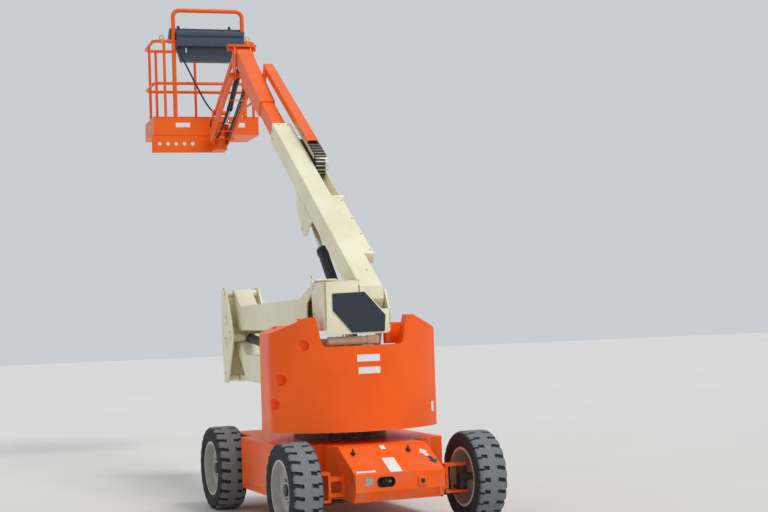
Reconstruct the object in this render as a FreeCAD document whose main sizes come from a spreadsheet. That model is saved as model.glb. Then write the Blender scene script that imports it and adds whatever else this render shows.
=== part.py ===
"""Articulating boom lift with a folded two-arm tower, a telescopic main boom and a jib.

Millimetres, +X towards the platform, +Y to the left, +Z up.  Each sub-part is modelled in the
frame of the machine piece that carries it and is then set in its working pose, as parked with
the main boom raised and the jib lowered.
"""
import FreeCAD, Part
import math
import os
import Sketcher

Vector = FreeCAD.Vector
Rotation = FreeCAD.Rotation
Placement = FreeCAD.Placement

# Driving sizes
# Heights are above the ground and distances forward are from the slewing axis, unless the name
# says otherwise.
SIZES = {
    # wheels and axles
    "wheelbase": 2000, "wheel_track": 1510, "tyre_radius": 360, "tyre_width": 240,
    "tyre_shoulder": 24, "tyre_cheek": 62, "bead_radius": 222, "bead_width": 208,
    "rim_wall": 7, "rim_lip": 13, "disc_radius": 150, "disc_thickness": 12, "disc_offset": 20,
    "dish_depth": 14, "hub_radius": 64, "hub_length": 40, "spindle_radius": 30,
    "lug_count": 24, "lug_height": 14, "lug_width": 60, "lug_ease": 2, "lug_slant": 8,
    "crown_half": 40, "soft_gap": 0.3,
    "kingpin_inset": 115, "kingpin_radius": 22, "knuckle_height": 178, "knuckle_radius": 42,
    "yoke_plate": 20, "yoke_gap": 6, "yoke_half_width": 55, "yoke_reach": 45,
    "axle_height": 150, "axle_width": 120, "axle_half_span": 500, "axle_chord": 30,
    "axle_post": 25,
    "steer_arm_reach": 110, "steer_arm_thickness": 16, "steer_arm_radius": 24,
    "tie_rod_radius": 16, "tie_rod_level": 230, "tie_end_radius": 20,
    "drive_hub_radius": 105, "drive_motor_radius": 80, "wheel_gap": 7, "axle_stub": 24,
    # chassis
    "deck_height": 650, "belly_height": 205, "hull_half_width": 600, "hull_rear": 600,
    "hull_front": 1240, "hull_corner": 120, "hood_sheet": 5, "neck_belly": 255,
    "hood_half_width": 367, "hood_start": 930, "hood_end": 1300, "hood_brow": 465,
    "hood_chin": 335, "hood_foot": 1255, "charge_length": 150, "charge_height": 80,
    "charge_depth": 40, "charge_level": 402, "charge_offset": 120, "inlet_radius": 26,
    "drive_cover_depth": 45, "drive_cover_half_width": 330, "drive_cover_low": 270,
    "drive_cover_high": 600, "lashing_bore": 20, "lashing_plate": 18, "lashing_reach": 60,
    "lashing_level": 340, "lashing_half_width": 36, "lashing_side": 408,
    # slewing ring and turntable
    "slew_forward": 36, "ring_outer": 390, "ring_inner": 300, "ring_height": 56,
    "race_radius": 350, "race_height": 34, "ring_split": 0.5, "table_plate": 28,
    "table_half_width": 430, "table_front": 600, "table_rear": 666, "tail_radius": 866,
    "tail_wall": 200, "tail_side_wall": 130, "tail_half_width": 700, "tail_front": 160,
    "tail_bottom": 750, "tail_top": 1660, "tail_shoulder": 1540, "horn_crest": 440,
    "notch_half_width": 330, "notch_flare": 45, "notch_bottom": 1425, "notch_corner": 50,
    "tail_corner": 150, "pocket_radius": 45,
    "side_box_front": 500, "side_box_inner": 345, "side_box_outer": 500,
    "side_box_height": 1250, "right_box_inner": 240, "right_box_outer": 620,
    "side_box_corner": 60,
    # tower: two arms folded over each other, each with a levelling link inside
    "tower_side": 200, "tower_pin_x": -480, "tower_pin_z": 1440, "arm_length": 3520,
    "arm_drop": 40, "link_lead": 60, "link_drop": 350, "upper_pin_lead": 30,
    "upper_pin_rise": 515, "upper_link_lag": 50, "upper_link_drop": 295, "upper_rise": 10,
    "arm_width": 180, "arm_wall": 12, "pin_gap": 0.5, "pin_radius": 24, "boss_radius": 44,
    "riser_plate": 20, "side_gap": 12, "link_width": 90, "link_height": 56,
    "link_eye": 40, "spacer_radius": 36, "spacer_gap": 5, "riser_foot_rear": 100,
    "riser_foot_front": 360, "knuckle_plate": 15, "knuckle_half_width": 180,
    "knuckle_web": 12, "tower_rod_lag": 240, "tower_rod_rise": 66, "tower_base_x": 1980,
    "tower_base_z": -33, "tower_barrel": 44, "tower_rod": 24, "tower_eye": 38,
    "tower_room": 100, "tower_eye_half": 28,
    # upright: carries the upper arm on the left and the main boom on the right
    "upright_reach": 390, "upright_top": 1950, "upright_bottom": 1520, "upright_plate": 15,
    "upright_left": 310, "upright_mid": 20, "upright_right": 225, "boom_pin_lag": 210,
    "boom_pin_z": 1800, "boom_side": -95, "boom_pin_radius": 32, "cover_thickness": 8,
    "lift_base_lead": 50, "lift_base_z": 1250,
    # main boom
    "boom_elevation": 29.1, "boom_width": 190, "boom_height": 205, "boom_wall": 7,
    "boom_axis": 39, "pad_length": 90, "pad_inset": 6, "pad_corner": 14,
    "boom_rear": 110, "boom_front": 3430,
    "lift_pin_x": 1884, "lift_pin_drop": 225, "lug_plate": 16, "lift_barrel": 48,
    "lift_rod": 26, "lift_eye": 38, "lift_room": 357, "ram_neck": 20, "ram_base": 20,
    "ram_gland": 40, "ram_collar": 5, "ram_fit": 0.1, "jib_room": 200,
    "eye_half_width": 38, "eye_side_gap": 4, "lug_brace": 12,
    "fly_width": 140, "fly_height": 150, "fly_wall": 6, "fly_top": 100, "fly_rear": 2300,
    "fly_shoulder": 4110, "nose_half_width": 80, "nose_top": 200, "nose_chin": 72,
    "nose_chin_reach": 850, "nose_boss": 56, "tray_start": 620, "tray_end": 3300,
    "tray_width": 100, "tray_height": 90, "tray_wall": 5, "tray_side": 155,
    "rail_start": 2740, "rail_reach": 790, "rail_height": 76, "rail_wall": 6,
    "rail_rise": 25, "track_width": 78, "track_thickness": 44, "track_bend": 2436,
    "track_run": 800, "track_bend_radius": 83, "track_seat": 5.5, "track_pitch": 66,
    "track_slot": 6, "track_relief": 5,
    # tip bracket, jib and platform turning head
    "nose_length": 1360, "tip_pin_z": 60, "tip_plate": 12, "tip_plate_side": 84,
    "tip_pin_radius": 26, "jib_length": 1500, "jib_depression": 20.5, "jib_upper_x": 60,
    "jib_upper_z": 147, "jib_lower_x": 50, "jib_lower_z": -153, "jib_bar_side": 123,
    "jib_bar_width": 44, "jib_bar_height": 76, "jib_eye": 38, "jib_pin": 20,
    "jib_link_side": 61, "jib_link_width": 28, "jib_link_height": 56,
    "jib_ram_x": 110, "jib_ram_z": 17, "jib_ram_reach": 1100, "jib_barrel": 30,
    "jib_rod": 16, "jib_ram_eye": 28, "jib_ram_half_width": 24, "head_plate": 12,
    "head_reach": 115, "turn_radius": 92, "turn_low": -95, "turn_high": 170,
    "turn_pin": 30, "turn_gap": 5,
    # platform
    "platform_depth": 760, "platform_width": 1290, "platform_shift": 122,
    "platform_rear": 160, "floor_level": 96, "floor_thickness": 30, "toe_low": 86,
    "toe_high": 290, "toe_sheet": 4, "rail_tube": 19, "post_radius": 17, "post_inset": 40,
    "mid_rail": 700, "top_rail": 1215,
    "guard_rail": 1595, "rail_bend": 90, "beam_depth": 60, "beam_low": -144,
    "beam_wall": 6, "beam_left": 795, "beam_right": 95, "beam_hole": 22,
    "beam_hole_pitch": 100, "turn_plate": 40, "turn_plate_width": 150,
    "console_left": 535, "console_right": 365, "console_depth": 190, "console_low": 1225,
    "console_high": 1375, "console_foot": 975, "console_foot_depth": 110,
    "console_foot_inset": 130, "guard_left": 495, "guard_right": 355, "gate_width": 520,
    "gate_hinge_x": 330, "gate_gap": 24,
    # rest pose
    "slew_angle": -5.0, "origin_forward": 2645, "origin_left": -157,
}


class Size:
    """A length that keeps its number together with the sheet formula that gives it."""

    def __init__(self, value, text):
        self.value = value
        self.text = text

    def combine(self, sign, other, value):
        return Size(value, f"({self.text} {sign} {other.text})")

    def __add__(self, other):
        other = size_of(other)
        return self.combine("+", other, self.value + other.value)

    def __sub__(self, other):
        other = size_of(other)
        return self.combine("-", other, self.value - other.value)

    def __mul__(self, other):
        other = size_of(other)
        return self.combine("*", other, self.value * other.value)

    def __truediv__(self, other):
        other = size_of(other)
        return self.combine("/", other, self.value / other.value)

    def __radd__(self, other):
        return size_of(other) + self

    def __rsub__(self, other):
        return size_of(other) - self

    def __rmul__(self, other):
        return size_of(other) * self

    def __neg__(self):
        return Size(-self.value, f"(-1 * {self.text})")


def size_of(number):
    return number if isinstance(number, Size) else Size(float(number), f"({float(number)!r})")


class SheetSizes:
    """The sizes of the sheet, each under its own name."""

    def __init__(self, names):
        for name, number in names.items():
            setattr(self, name, Size(float(number), f"Sizes.{name}"))


doc = FreeCAD.newDocument("boom_lift")
sheet = doc.addObject("Spreadsheet::Sheet", "Sizes")
for row, (name, number) in enumerate(SIZES.items(), 1):
    sheet.set(f"A{row}", name)
    sheet.set(f"B{row}", str(number))
    sheet.setAlias(f"B{row}", name)
doc.recompute()
s = SheetSizes(SIZES)

ORIGIN_PLANE = {"XY": "XY_Plane", "XZ": "XZ_Plane", "YZ": "YZ_Plane"}
AXES = {"XY": (0, 1), "XZ": (0, 2), "YZ": (1, 2)}


def circle(x, y, radius):
    return ("circle", x, y, radius)


def box_corners(x0, x1, y0, y1, *radius):
    return [(x0, y0, *radius), (x1, y0, *radius), (x1, y1, *radius), (x0, y1, *radius)]


class Piece:
    """One sub-part: a body that grows by pads, cuts and turned profiles."""

    def __init__(self, label):
        self.body = doc.addObject("PartDesign::Body", label)
        self.body.Label = label
        self.body.AllowCompound = True

    def origin(self, role):
        return next(f for f in self.body.Origin.OriginFeatures if f.Role == role)

    def sketch(self, plane, level, loops):
        drawing = self.body.newObject("Sketcher::SketchObject", self.body.Label + "_outline")
        drawing.AttachmentSupport = [(self.origin(ORIGIN_PLANE[plane]), "")]
        drawing.MapMode = "FlatFace"
        offset = -size_of(level) if plane == "XZ" else size_of(level)
        drawing.setExpression("AttachmentOffset.Base.z", offset.text)
        for loop in loops:
            if loop[0] == "circle":
                draw_circle(drawing, *loop[1:])
            else:
                draw_outline(drawing, loop)
        return drawing

    def feature(self, kind, drawing):
        item = self.body.newObject("PartDesign::" + kind, self.body.Label + "_" + kind.lower())
        item.Profile = drawing
        return item

    def pad(self, plane, low, high, *loops):
        """Material between two levels along the plane's normal axis."""
        level = high if plane == "XZ" else low
        item = self.feature("Pad", self.sketch(plane, level, loops))
        item.setExpression("Length", (size_of(high) - low).text)
        doc.recompute()
        return self

    def cut(self, plane, low, high, *loops):
        """Material taken away between two levels along the plane's normal axis."""
        before = self.body.Shape.Volume
        level = low if plane == "XZ" else high
        item = self.feature("Pocket", self.sketch(plane, level, loops))
        item.setExpression("Length", (size_of(high) - low).text)
        doc.recompute()
        if self.body.Shape.Volume >= before:
            raise RuntimeError(self.body.Label + ": a cut takes nothing away")
        return self

    def turn(self, plane, axis, *loops):
        """A profile turned about the first or second axis of its own plane."""
        drawing = self.sketch(plane, 0, loops)
        item = self.feature("Revolution", drawing)
        item.ReferenceAxis = (drawing, [axis])
        item.Angle = 360
        doc.recompute()
        return self

    def groove(self, plane, axis, *loops):
        before = self.body.Shape.Volume
        drawing = self.sketch(plane, 0, loops)
        item = self.feature("Groove", drawing)
        item.ReferenceAxis = (drawing, [axis])
        item.Angle = 360
        doc.recompute()
        if self.body.Shape.Volume >= before:
            raise RuntimeError(self.body.Label + ": a groove takes nothing away")
        return self

    def repeat_round(self, axis, count):
        """The last feature, set round an axis of the body at even angles."""
        last = self.body.Tip
        item = self.body.newObject("PartDesign::PolarPattern", self.body.Label + "_ring")
        item.Originals = [last]
        item.Axis = (self.origin(axis), [""])
        item.Angle = 360
        item.setExpression("Occurrences", count.text)
        self.body.Tip = item
        doc.recompute()
        return self

    def pipe(self, plane, level, path, radius, closed=False):
        """A round bar along a path, whose first run follows one of the plane's axes."""
        spine = self.sketch(plane, level, [])
        draw_outline(spine, path, closed)
        along_first = value(path[0][1]) == value(path[1][1])
        spot = list(path[0][:2])
        spot.insert(3 - sum(AXES[plane]), level)
        axis = AXES[plane][0 if along_first else 1]
        across = ("YZ", "XZ", "XY")[axis]
        first, second = AXES[across]
        profile = self.sketch(across, spot[axis], [circle(spot[first], spot[second], radius)])
        doc.recompute()
        item = self.feature("AdditivePipe", profile)
        item.Spine = (spine, [f"Edge{n + 1}" for n in range(len(spine.Shape.Edges))])
        doc.recompute()
        return self


class Rules:
    """The constraints of a sketch, given to it together so that nothing moves between them."""

    def __init__(self, drawing):
        self.drawing = drawing
        self.rules = []
        self.formulas = {}

    def add(self, *rule):
        self.rules.append(Sketcher.Constraint(*rule))

    def measure(self, size, *rule):
        self.formulas[len(self.rules)] = size_of(size).text
        self.add(*rule)

    def place(self, geometry, position, corner, point):
        """Holds a point at its two coordinates."""
        self.measure(corner[0], "DistanceX", -1, 1, geometry, position, point.x)
        self.measure(corner[1], "DistanceY", -1, 1, geometry, position, point.y)

    def apply(self):
        first = self.drawing.ConstraintCount
        self.drawing.addConstraint(self.rules)
        for number, text in self.formulas.items():
            self.drawing.setExpression(f"Constraints[{first + number}]", text)


def draw_circle(drawing, x, y, radius):
    centre = Vector(size_of(x).value, size_of(y).value, 0)
    geometry = drawing.addGeometry(
        Part.Circle(centre, Vector(0, 0, 1), size_of(radius).value), False)
    rules = Rules(drawing)
    rules.place(geometry, 3, (x, y), centre)
    rules.measure(radius, "Radius", geometry, size_of(radius).value)
    rules.apply()


def draw_outline(drawing, corners, closed=True):
    """An outline or a path; a corner with a third value is rounded by that radius."""
    count = len(corners)
    points = [Vector(size_of(c[0]).value, size_of(c[1]).value, 0) for c in corners]
    radii = [size_of(c[2]) if len(c) > 2 else None for c in corners]
    arrive, leave, crown = list(points), list(points), {}
    for i, radius in enumerate(radii):
        if radius is None:
            continue
        back = (points[i - 1] - points[i]).normalize()
        ahead = (points[(i + 1) % count] - points[i]).normalize()
        half = back.getAngle(ahead) / 2
        arrive[i] = points[i] + back * (radius.value / math.tan(half))
        leave[i] = points[i] + ahead * (radius.value / math.tan(half))
        inward = (back + ahead).normalize()
        crown[i] = points[i] + inward * (radius.value / math.sin(half) - radius.value)
    lines = [drawing.addGeometry(Part.LineSegment(leave[i], arrive[(i + 1) % count]), False)
             for i in range(count if closed else count - 1)]
    rules = Rules(drawing)
    if not closed:
        rules.place(lines[0], 1, corners[0], points[0])
        rules.place(lines[-1], 2, corners[-1], points[-1])
    for i, radius in enumerate(radii):
        if not closed and i in (0, count - 1):
            continue
        before, after = lines[i - 1], lines[i]
        if radius is None:
            rules.add("Coincident", before, 2, after, 1)
            rules.place(after, 1, corners[i], points[i])
            continue
        left_turn = (crown[i] - arrive[i]).cross(leave[i] - crown[i]).z > 0
        ends = (arrive[i], leave[i]) if left_turn else (leave[i], arrive[i])
        first, last = (1, 2) if left_turn else (2, 1)
        arc = drawing.addGeometry(Part.Arc(ends[0], crown[i], ends[1]), False)
        corner = drawing.addGeometry(Part.Point(points[i]), True)
        rules.add("Tangent", before, 2, arc, first)
        rules.add("Tangent", arc, last, after, 1)
        rules.measure(radius, "Radius", arc, radius.value)
        rules.add("PointOnObject", corner, 1, before)
        rules.add("PointOnObject", corner, 1, after)
        rules.place(corner, 1, corners[i], points[i])
    rules.apply()


NODES = []


def keep(piece, placement):
    """Stores a finished sub-part with the place where it rests."""
    piece.body.Placement = placement
    NODES.append(piece.body)


# Rest pose
# Angles are elevations, so a positive one lifts the forward end.
def elevate(degrees):
    return Rotation(Vector(0, -1, 0), degrees)


def at(x, y, z, rotation=Rotation()):
    return Placement(Vector(x, y, z), rotation)


def value(size):
    return size_of(size).value


def level_reach(length, rise):
    """How far a sloping length reaches on the level."""
    return Size(math.sqrt(length.value ** 2 - rise.value ** 2),
                f"sqrt({length.text} * {length.text} - {rise.text} * {rise.text})")


CHASSIS = at(-value(s.origin_forward), -value(s.origin_left), 0)
TABLE = CHASSIS * at(value(s.slew_forward), 0, 0, Rotation(Vector(0, 0, 1), value(s.slew_angle)))

ARM_HALF = s.arm_width / 2
LINK_HALF = s.link_width / 2
LOWER_REACH = level_reach(s.arm_length, s.arm_drop)
UPPER_REACH = level_reach(s.arm_length, s.upper_rise)
FRONT_PIN_X = s.tower_pin_x + LOWER_REACH
FRONT_PIN_Z = s.tower_pin_z - s.arm_drop
UPPER_PIN_X = FRONT_PIN_X + s.upper_pin_lead
UPPER_PIN_Z = FRONT_PIN_Z + s.upper_pin_rise
REAR_PIN_X = UPPER_PIN_X - UPPER_REACH
REAR_PIN_Z = UPPER_PIN_Z + s.upper_rise
BOOM_PIN_X = REAR_PIN_X - s.boom_pin_lag
LIFT_BASE_X = REAR_PIN_X + s.lift_base_lead
TIP_PIN_X = s.fly_shoulder + s.nose_length
RAIL_END = s.fly_shoulder + s.rail_reach
LOWER_TILT = -math.degrees(math.asin(value(s.arm_drop) / value(s.arm_length)))
UPPER_TILT = -math.degrees(math.asin(value(s.upper_rise) / value(s.arm_length)))

TOWER_PIN = Vector(value(s.tower_pin_x), value(s.tower_side), value(s.tower_pin_z))
FRONT_PIN = Vector(value(FRONT_PIN_X), value(s.tower_side), value(FRONT_PIN_Z))
UPPER_FRONT = Vector(value(UPPER_PIN_X), value(s.tower_side), value(UPPER_PIN_Z))
UPPER_REAR = Vector(value(REAR_PIN_X), value(s.tower_side), value(REAR_PIN_Z))
LOWER_LINK_PIN = TOWER_PIN + Vector(value(s.link_lead), 0, -value(s.link_drop))
UPPER_LINK_PIN = UPPER_FRONT + Vector(-value(s.upper_link_lag), 0, -value(s.upper_link_drop))
TOWER_ROD = FRONT_PIN + Vector(-value(s.tower_rod_lag), 0, value(s.tower_rod_rise))
LOWER_ARM = at(*TOWER_PIN, elevate(LOWER_TILT))
TOWER_BASE = LOWER_ARM.multVec(Vector(value(s.tower_base_x), 0, value(s.tower_base_z)))

BOOM_PIN = Vector(value(BOOM_PIN_X), value(s.boom_side), value(s.boom_pin_z))
BOOM = at(*BOOM_PIN, elevate(value(s.boom_elevation)))
LIFT_BASE = Vector(value(LIFT_BASE_X), value(s.boom_side), value(s.lift_base_z))
LIFT_EYE = BOOM.multVec(Vector(value(s.lift_pin_x), 0, -value(s.lift_pin_drop)))
TIP_PIN = BOOM.multVec(Vector(value(TIP_PIN_X), 0, value(s.tip_pin_z)))
JIB_UPPER = TIP_PIN + Vector(value(s.jib_upper_x), 0, value(s.jib_upper_z))
JIB_LOWER = TIP_PIN + Vector(value(s.jib_lower_x), 0, value(s.jib_lower_z))
JIB_TURN = elevate(-value(s.jib_depression))
HEAD_LOWER = JIB_LOWER + JIB_TURN.multVec(Vector(value(s.jib_length), 0, 0))
HEAD_UPPER = JIB_UPPER + JIB_TURN.multVec(Vector(value(s.jib_length), 0, 0))
JIB_RAM_BASE = TIP_PIN + Vector(value(s.jib_ram_x), 0, value(s.jib_ram_z))
JIB_RAM_EYE = JIB_LOWER + JIB_TURN.multVec(Vector(value(s.jib_ram_reach), 0, 0))
TURN_AXIS = HEAD_LOWER + Vector(value(s.head_reach), 0, 0)


def slope(start, end):
    """The elevation, in degrees, of the line from one pin to another."""
    return math.degrees(math.atan2(end.z - start.z, end.x - start.x))


def sides(side, low, high):
    """The two levels of a piece on the left side, or their mirror on the right."""
    return (low, high) if side > 0 else (-high, -low)


# Wheels and axles
LEFT, RIGHT = 1, -1
WHEEL_SIDE = s.wheel_track / 2
KINGPIN_SIDE = WHEEL_SIDE - s.kingpin_inset
AXLE_X = s.wheelbase / 2
HUB_END = s.disc_offset + s.disc_thickness + s.axle_stub


def rim(label, place):
    bead = s.bead_width / 2
    well = s.bead_radius - s.rim_wall
    lip = s.bead_radius + s.rim_lip
    back = s.disc_offset + s.dish_depth
    piece = Piece(label)
    piece.turn("YZ", "H_Axis", [
        (-bead - s.rim_wall, well), (-bead - s.rim_wall, lip), (-bead, lip),
        (-bead, s.bead_radius), (bead, s.bead_radius), (bead, lip),
        (bead + s.rim_wall, lip), (bead + s.rim_wall, well),
        (back + s.disc_thickness, well), (s.disc_offset + s.disc_thickness, s.disc_radius),
        (s.disc_offset + s.disc_thickness, s.hub_radius),
        (s.disc_offset + s.hub_length, s.hub_radius - 6),
        (s.disc_offset + s.hub_length, s.spindle_radius + s.pin_gap),
        (s.disc_offset, s.spindle_radius + s.pin_gap), (s.disc_offset, s.disc_radius),
        (back, well)])
    keep(piece, place)


def tyre(label, place):
    half = s.tyre_width / 2
    bead = s.bead_width / 2 - s.soft_gap
    foot = s.bead_radius + s.soft_gap
    base = s.tyre_radius - s.lug_height
    band = s.crown_half
    piece = Piece(label)
    piece.turn("YZ", "H_Axis", [
        (-bead, foot), (-bead, foot + s.rim_lip), (-half, s.tyre_radius - s.tyre_cheek - 36),
        (-half, base - s.tyre_shoulder), (-half + s.tyre_shoulder, base), (-band, base),
        (-band, s.tyre_radius), (band, s.tyre_radius), (band, base),
        (half - s.tyre_shoulder, base), (half, base - s.tyre_shoulder),
        (half, s.tyre_radius - s.tyre_cheek - 36), (bead, foot + s.rim_lip), (bead, foot)])
    for side in (LEFT, RIGHT):
        low, high = sides(side, band - s.lug_ease, half)
        slant = side * s.lug_slant
        piece.pad("XZ", low, high, box_corners(
            base - s.tyre_shoulder, s.tyre_radius - s.lug_ease, slant - s.lug_width / 2,
            slant + s.lug_width / 2))
        piece.repeat_round("Y_Axis", s.lug_count)
    keep(piece, place)


def wheel_place(forward, side):
    turn = Rotation(Vector(0, 0, 1), 0 if side > 0 else 180)
    return CHASSIS * at(forward * value(AXLE_X), side * value(WHEEL_SIDE),
                        value(s.tyre_radius), turn)


WHEELS = [("front_left", 1, LEFT), ("front_right", 1, RIGHT),
          ("rear_left", -1, LEFT), ("rear_right", -1, RIGHT)]
for name, forward, side in WHEELS:
    rim("rim_" + name, wheel_place(forward, side))
    tyre("tyre_" + name, wheel_place(forward, side))


def steer_axle():
    half_height = s.axle_height / 2
    yoke = s.knuckle_height / 2 + s.yoke_gap
    reach = KINGPIN_SIDE + s.yoke_reach
    piece = Piece("steer_axle")
    piece.pad("XZ", -s.axle_half_span, s.axle_half_span, box_corners(
        -AXLE_X - s.axle_width / 2, -AXLE_X + s.axle_width / 2,
        s.tyre_radius - half_height, s.tyre_radius + half_height))
    for side in (LEFT, RIGHT):
        low, high = sides(side, s.hood_half_width + s.axle_post,
                          s.axle_half_span - s.yoke_plate)
        piece.cut("YZ", -AXLE_X - s.axle_width / 2, -AXLE_X + s.axle_width / 2, box_corners(
            low, high, s.tyre_radius - half_height + s.axle_chord,
            s.tyre_radius + half_height - s.axle_chord, s.axle_chord / 3))
        low, high = sides(side, s.axle_half_span - s.yoke_plate, s.axle_half_span)
        piece.pad("XZ", low, high, box_corners(
            -AXLE_X - s.yoke_half_width, -AXLE_X + s.yoke_half_width,
            s.tyre_radius - yoke - s.yoke_plate, s.tyre_radius + yoke + s.yoke_plate))
        low, high = sides(side, s.axle_half_span - s.yoke_plate, reach)
        for level in (s.tyre_radius - yoke - s.yoke_plate, s.tyre_radius + yoke):
            piece.pad("XY", level, level + s.yoke_plate, box_corners(
                -AXLE_X - s.yoke_half_width, -AXLE_X + s.yoke_half_width, low, high,
                s.yoke_half_width * 0.6))
        piece.pad("XY", s.tyre_radius - yoke - s.yoke_plate, s.tyre_radius + yoke + s.yoke_plate,
                  circle(-AXLE_X, side * KINGPIN_SIDE, s.kingpin_radius))
    keep(piece, CHASSIS)


def knuckle(label, side):
    half = s.knuckle_height / 2
    end = s.kingpin_inset + HUB_END
    piece = Piece(label)
    piece.pad("XY", -half, half, circle(0, 0, s.knuckle_radius))
    low, high = sides(side, s.kingpin_radius + s.pin_gap, end)
    piece.pad("XZ", low, high, circle(0, 0, s.spindle_radius))
    piece.pad("XY", -half, -half + s.steer_arm_thickness,
              box_corners(0, s.steer_arm_reach, -s.steer_arm_radius, s.steer_arm_radius))
    piece.pad("XY", -half, -half + s.steer_arm_thickness,
              circle(s.steer_arm_reach, 0, s.steer_arm_radius))
    piece.cut("XY", -half, half, circle(0, 0, s.kingpin_radius + s.pin_gap))
    keep(piece, CHASSIS * at(-value(AXLE_X), side * value(KINGPIN_SIDE), value(s.tyre_radius)))


def tie_rod():
    place = -AXLE_X + s.steer_arm_reach
    top = s.tyre_radius - s.knuckle_height / 2 - s.pin_gap
    piece = Piece("tie_rod")
    piece.pad("XZ", -KINGPIN_SIDE, KINGPIN_SIDE,
              circle(place, s.tie_rod_level, s.tie_rod_radius))
    for side in (LEFT, RIGHT):
        piece.pad("XY", s.tie_rod_level - s.tie_rod_radius, top,
                  circle(place, side * KINGPIN_SIDE, s.tie_end_radius))
    keep(piece, CHASSIS)


def drive_hubs():
    piece = Piece("drive_hubs")
    face = WHEEL_SIDE + s.disc_offset - s.wheel_gap
    motor = s.hull_half_width + (face - s.hull_half_width) * 0.6
    for side in (LEFT, RIGHT):
        for inner, outer, radius in [
                (s.hull_half_width, motor, s.drive_hub_radius),
                (motor, face, s.drive_motor_radius),
                (face, WHEEL_SIDE + HUB_END, s.spindle_radius)]:
            low, high = sides(side, inner, outer)
            piece.pad("XZ", low, high, circle(AXLE_X, s.tyre_radius, radius))
    keep(piece, CHASSIS)


# Chassis
def neck_outline(grow):
    """The side view of the hood, or of the neck that fills it."""
    return [(-s.hull_rear, s.neck_belly), (-s.hull_rear, s.deck_height + grow),
            (-s.hood_start, s.deck_height + grow), (-s.hood_end - grow, s.hood_brow),
            (-s.hood_end - grow, s.hood_chin), (-s.hood_foot - grow, s.neck_belly)]


def charge_recess():
    return box_corners(s.charge_offset - s.charge_length / 2,
                       s.charge_offset + s.charge_length / 2,
                       s.charge_level - s.charge_height / 2,
                       s.charge_level + s.charge_height / 2, s.charge_height * 0.45)


def axle_slot():
    return box_corners(-AXLE_X - s.axle_width / 2, -AXLE_X + s.axle_width / 2,
                       s.tyre_radius - s.axle_height / 2, s.tyre_radius + s.axle_height / 2)


def chassis_frame():
    neck = s.hood_half_width - s.hood_sheet
    piece = Piece("chassis_frame")
    piece.pad("XY", s.belly_height, s.deck_height, box_corners(
        -s.hull_rear, s.hull_front, -s.hull_half_width, s.hull_half_width, s.hull_corner))
    piece.pad("XZ", -neck, neck, neck_outline(-s.hood_sheet))
    piece.cut("XZ", -neck, neck, axle_slot())
    piece.cut("YZ", -s.hood_end, -s.hood_end + s.charge_depth, charge_recess())
    for end, direction in ((s.hull_front, 1), (-s.hull_rear, -1)):
        low, high = sides(direction, size_of(0), s.lashing_reach)
        eye = end + direction * (s.lashing_reach - s.lashing_bore * 1.6)
        under = s.lashing_level - s.lashing_plate / 2
        for side in (LEFT, RIGHT):
            middle = side * s.lashing_side
            piece.pad("XY", under, under + s.lashing_plate, box_corners(
                end + low, end + high, middle - s.lashing_half_width,
                middle + s.lashing_half_width))
            piece.cut("XY", under, under + s.lashing_plate,
                      circle(eye, middle, s.lashing_bore))
    keep(piece, CHASSIS)


def charger_hood():
    inside = s.hood_half_width - s.hood_sheet
    piece = Piece("charger_hood")
    piece.pad("XZ", -s.hood_half_width, s.hood_half_width, neck_outline(size_of(0)))
    piece.cut("XZ", -inside, inside, neck_outline(-s.hood_sheet))
    piece.cut("XZ", -s.hood_half_width, s.hood_half_width, axle_slot())
    piece.cut("YZ", -s.hood_end, -s.hood_end + s.charge_depth, charge_recess())
    keep(piece, CHASSIS)


def charging_inlet():
    floor = -s.hood_end + s.charge_depth
    piece = Piece("charging_inlet")
    piece.pad("YZ", floor - s.charge_depth * 0.7, floor,
              circle(s.charge_offset, s.charge_level, s.inlet_radius),
              circle(s.charge_offset, s.charge_level, s.inlet_radius * 0.75))
    piece.pad("YZ", floor - s.charge_depth * 0.25, floor,
              circle(s.charge_offset, s.charge_level, s.inlet_radius * 0.8))
    keep(piece, CHASSIS)


def drive_end_cover():
    piece = Piece("drive_end_cover")
    piece.pad("YZ", s.hull_front, s.hull_front + s.drive_cover_depth, box_corners(
        -s.drive_cover_half_width, s.drive_cover_half_width, s.drive_cover_low,
        s.drive_cover_high, 40))
    keep(piece, CHASSIS)


def slew_ring():
    piece = Piece("slew_ring")
    piece.pad("XY", s.deck_height, s.deck_height + s.ring_height,
              circle(0, 0, s.ring_outer), circle(0, 0, s.ring_inner))
    keep(piece, CHASSIS * at(value(s.slew_forward), 0, 0))


for build in (steer_axle, tie_rod, drive_hubs, chassis_frame, charger_hood, charging_inlet,
              drive_end_cover, slew_ring):
    build()
knuckle("knuckle_left", LEFT)
knuckle("knuckle_right", RIGHT)

# Turntable
RACE_LOW = s.deck_height + s.ring_height + s.ring_split
PLATE_LOW = RACE_LOW + s.race_height
TABLE_TOP = PLATE_LOW + s.table_plate


def pin_seats(piece, x, z, radius, spans, collar, collars):
    """A pin along Y with the collars that keep its eye in the middle."""
    for low, high in spans:
        piece.pad("XZ", low, high, circle(x, z, radius))
    for low, high in collars:
        piece.pad("XZ", low, high, circle(x, z, collar))


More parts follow.
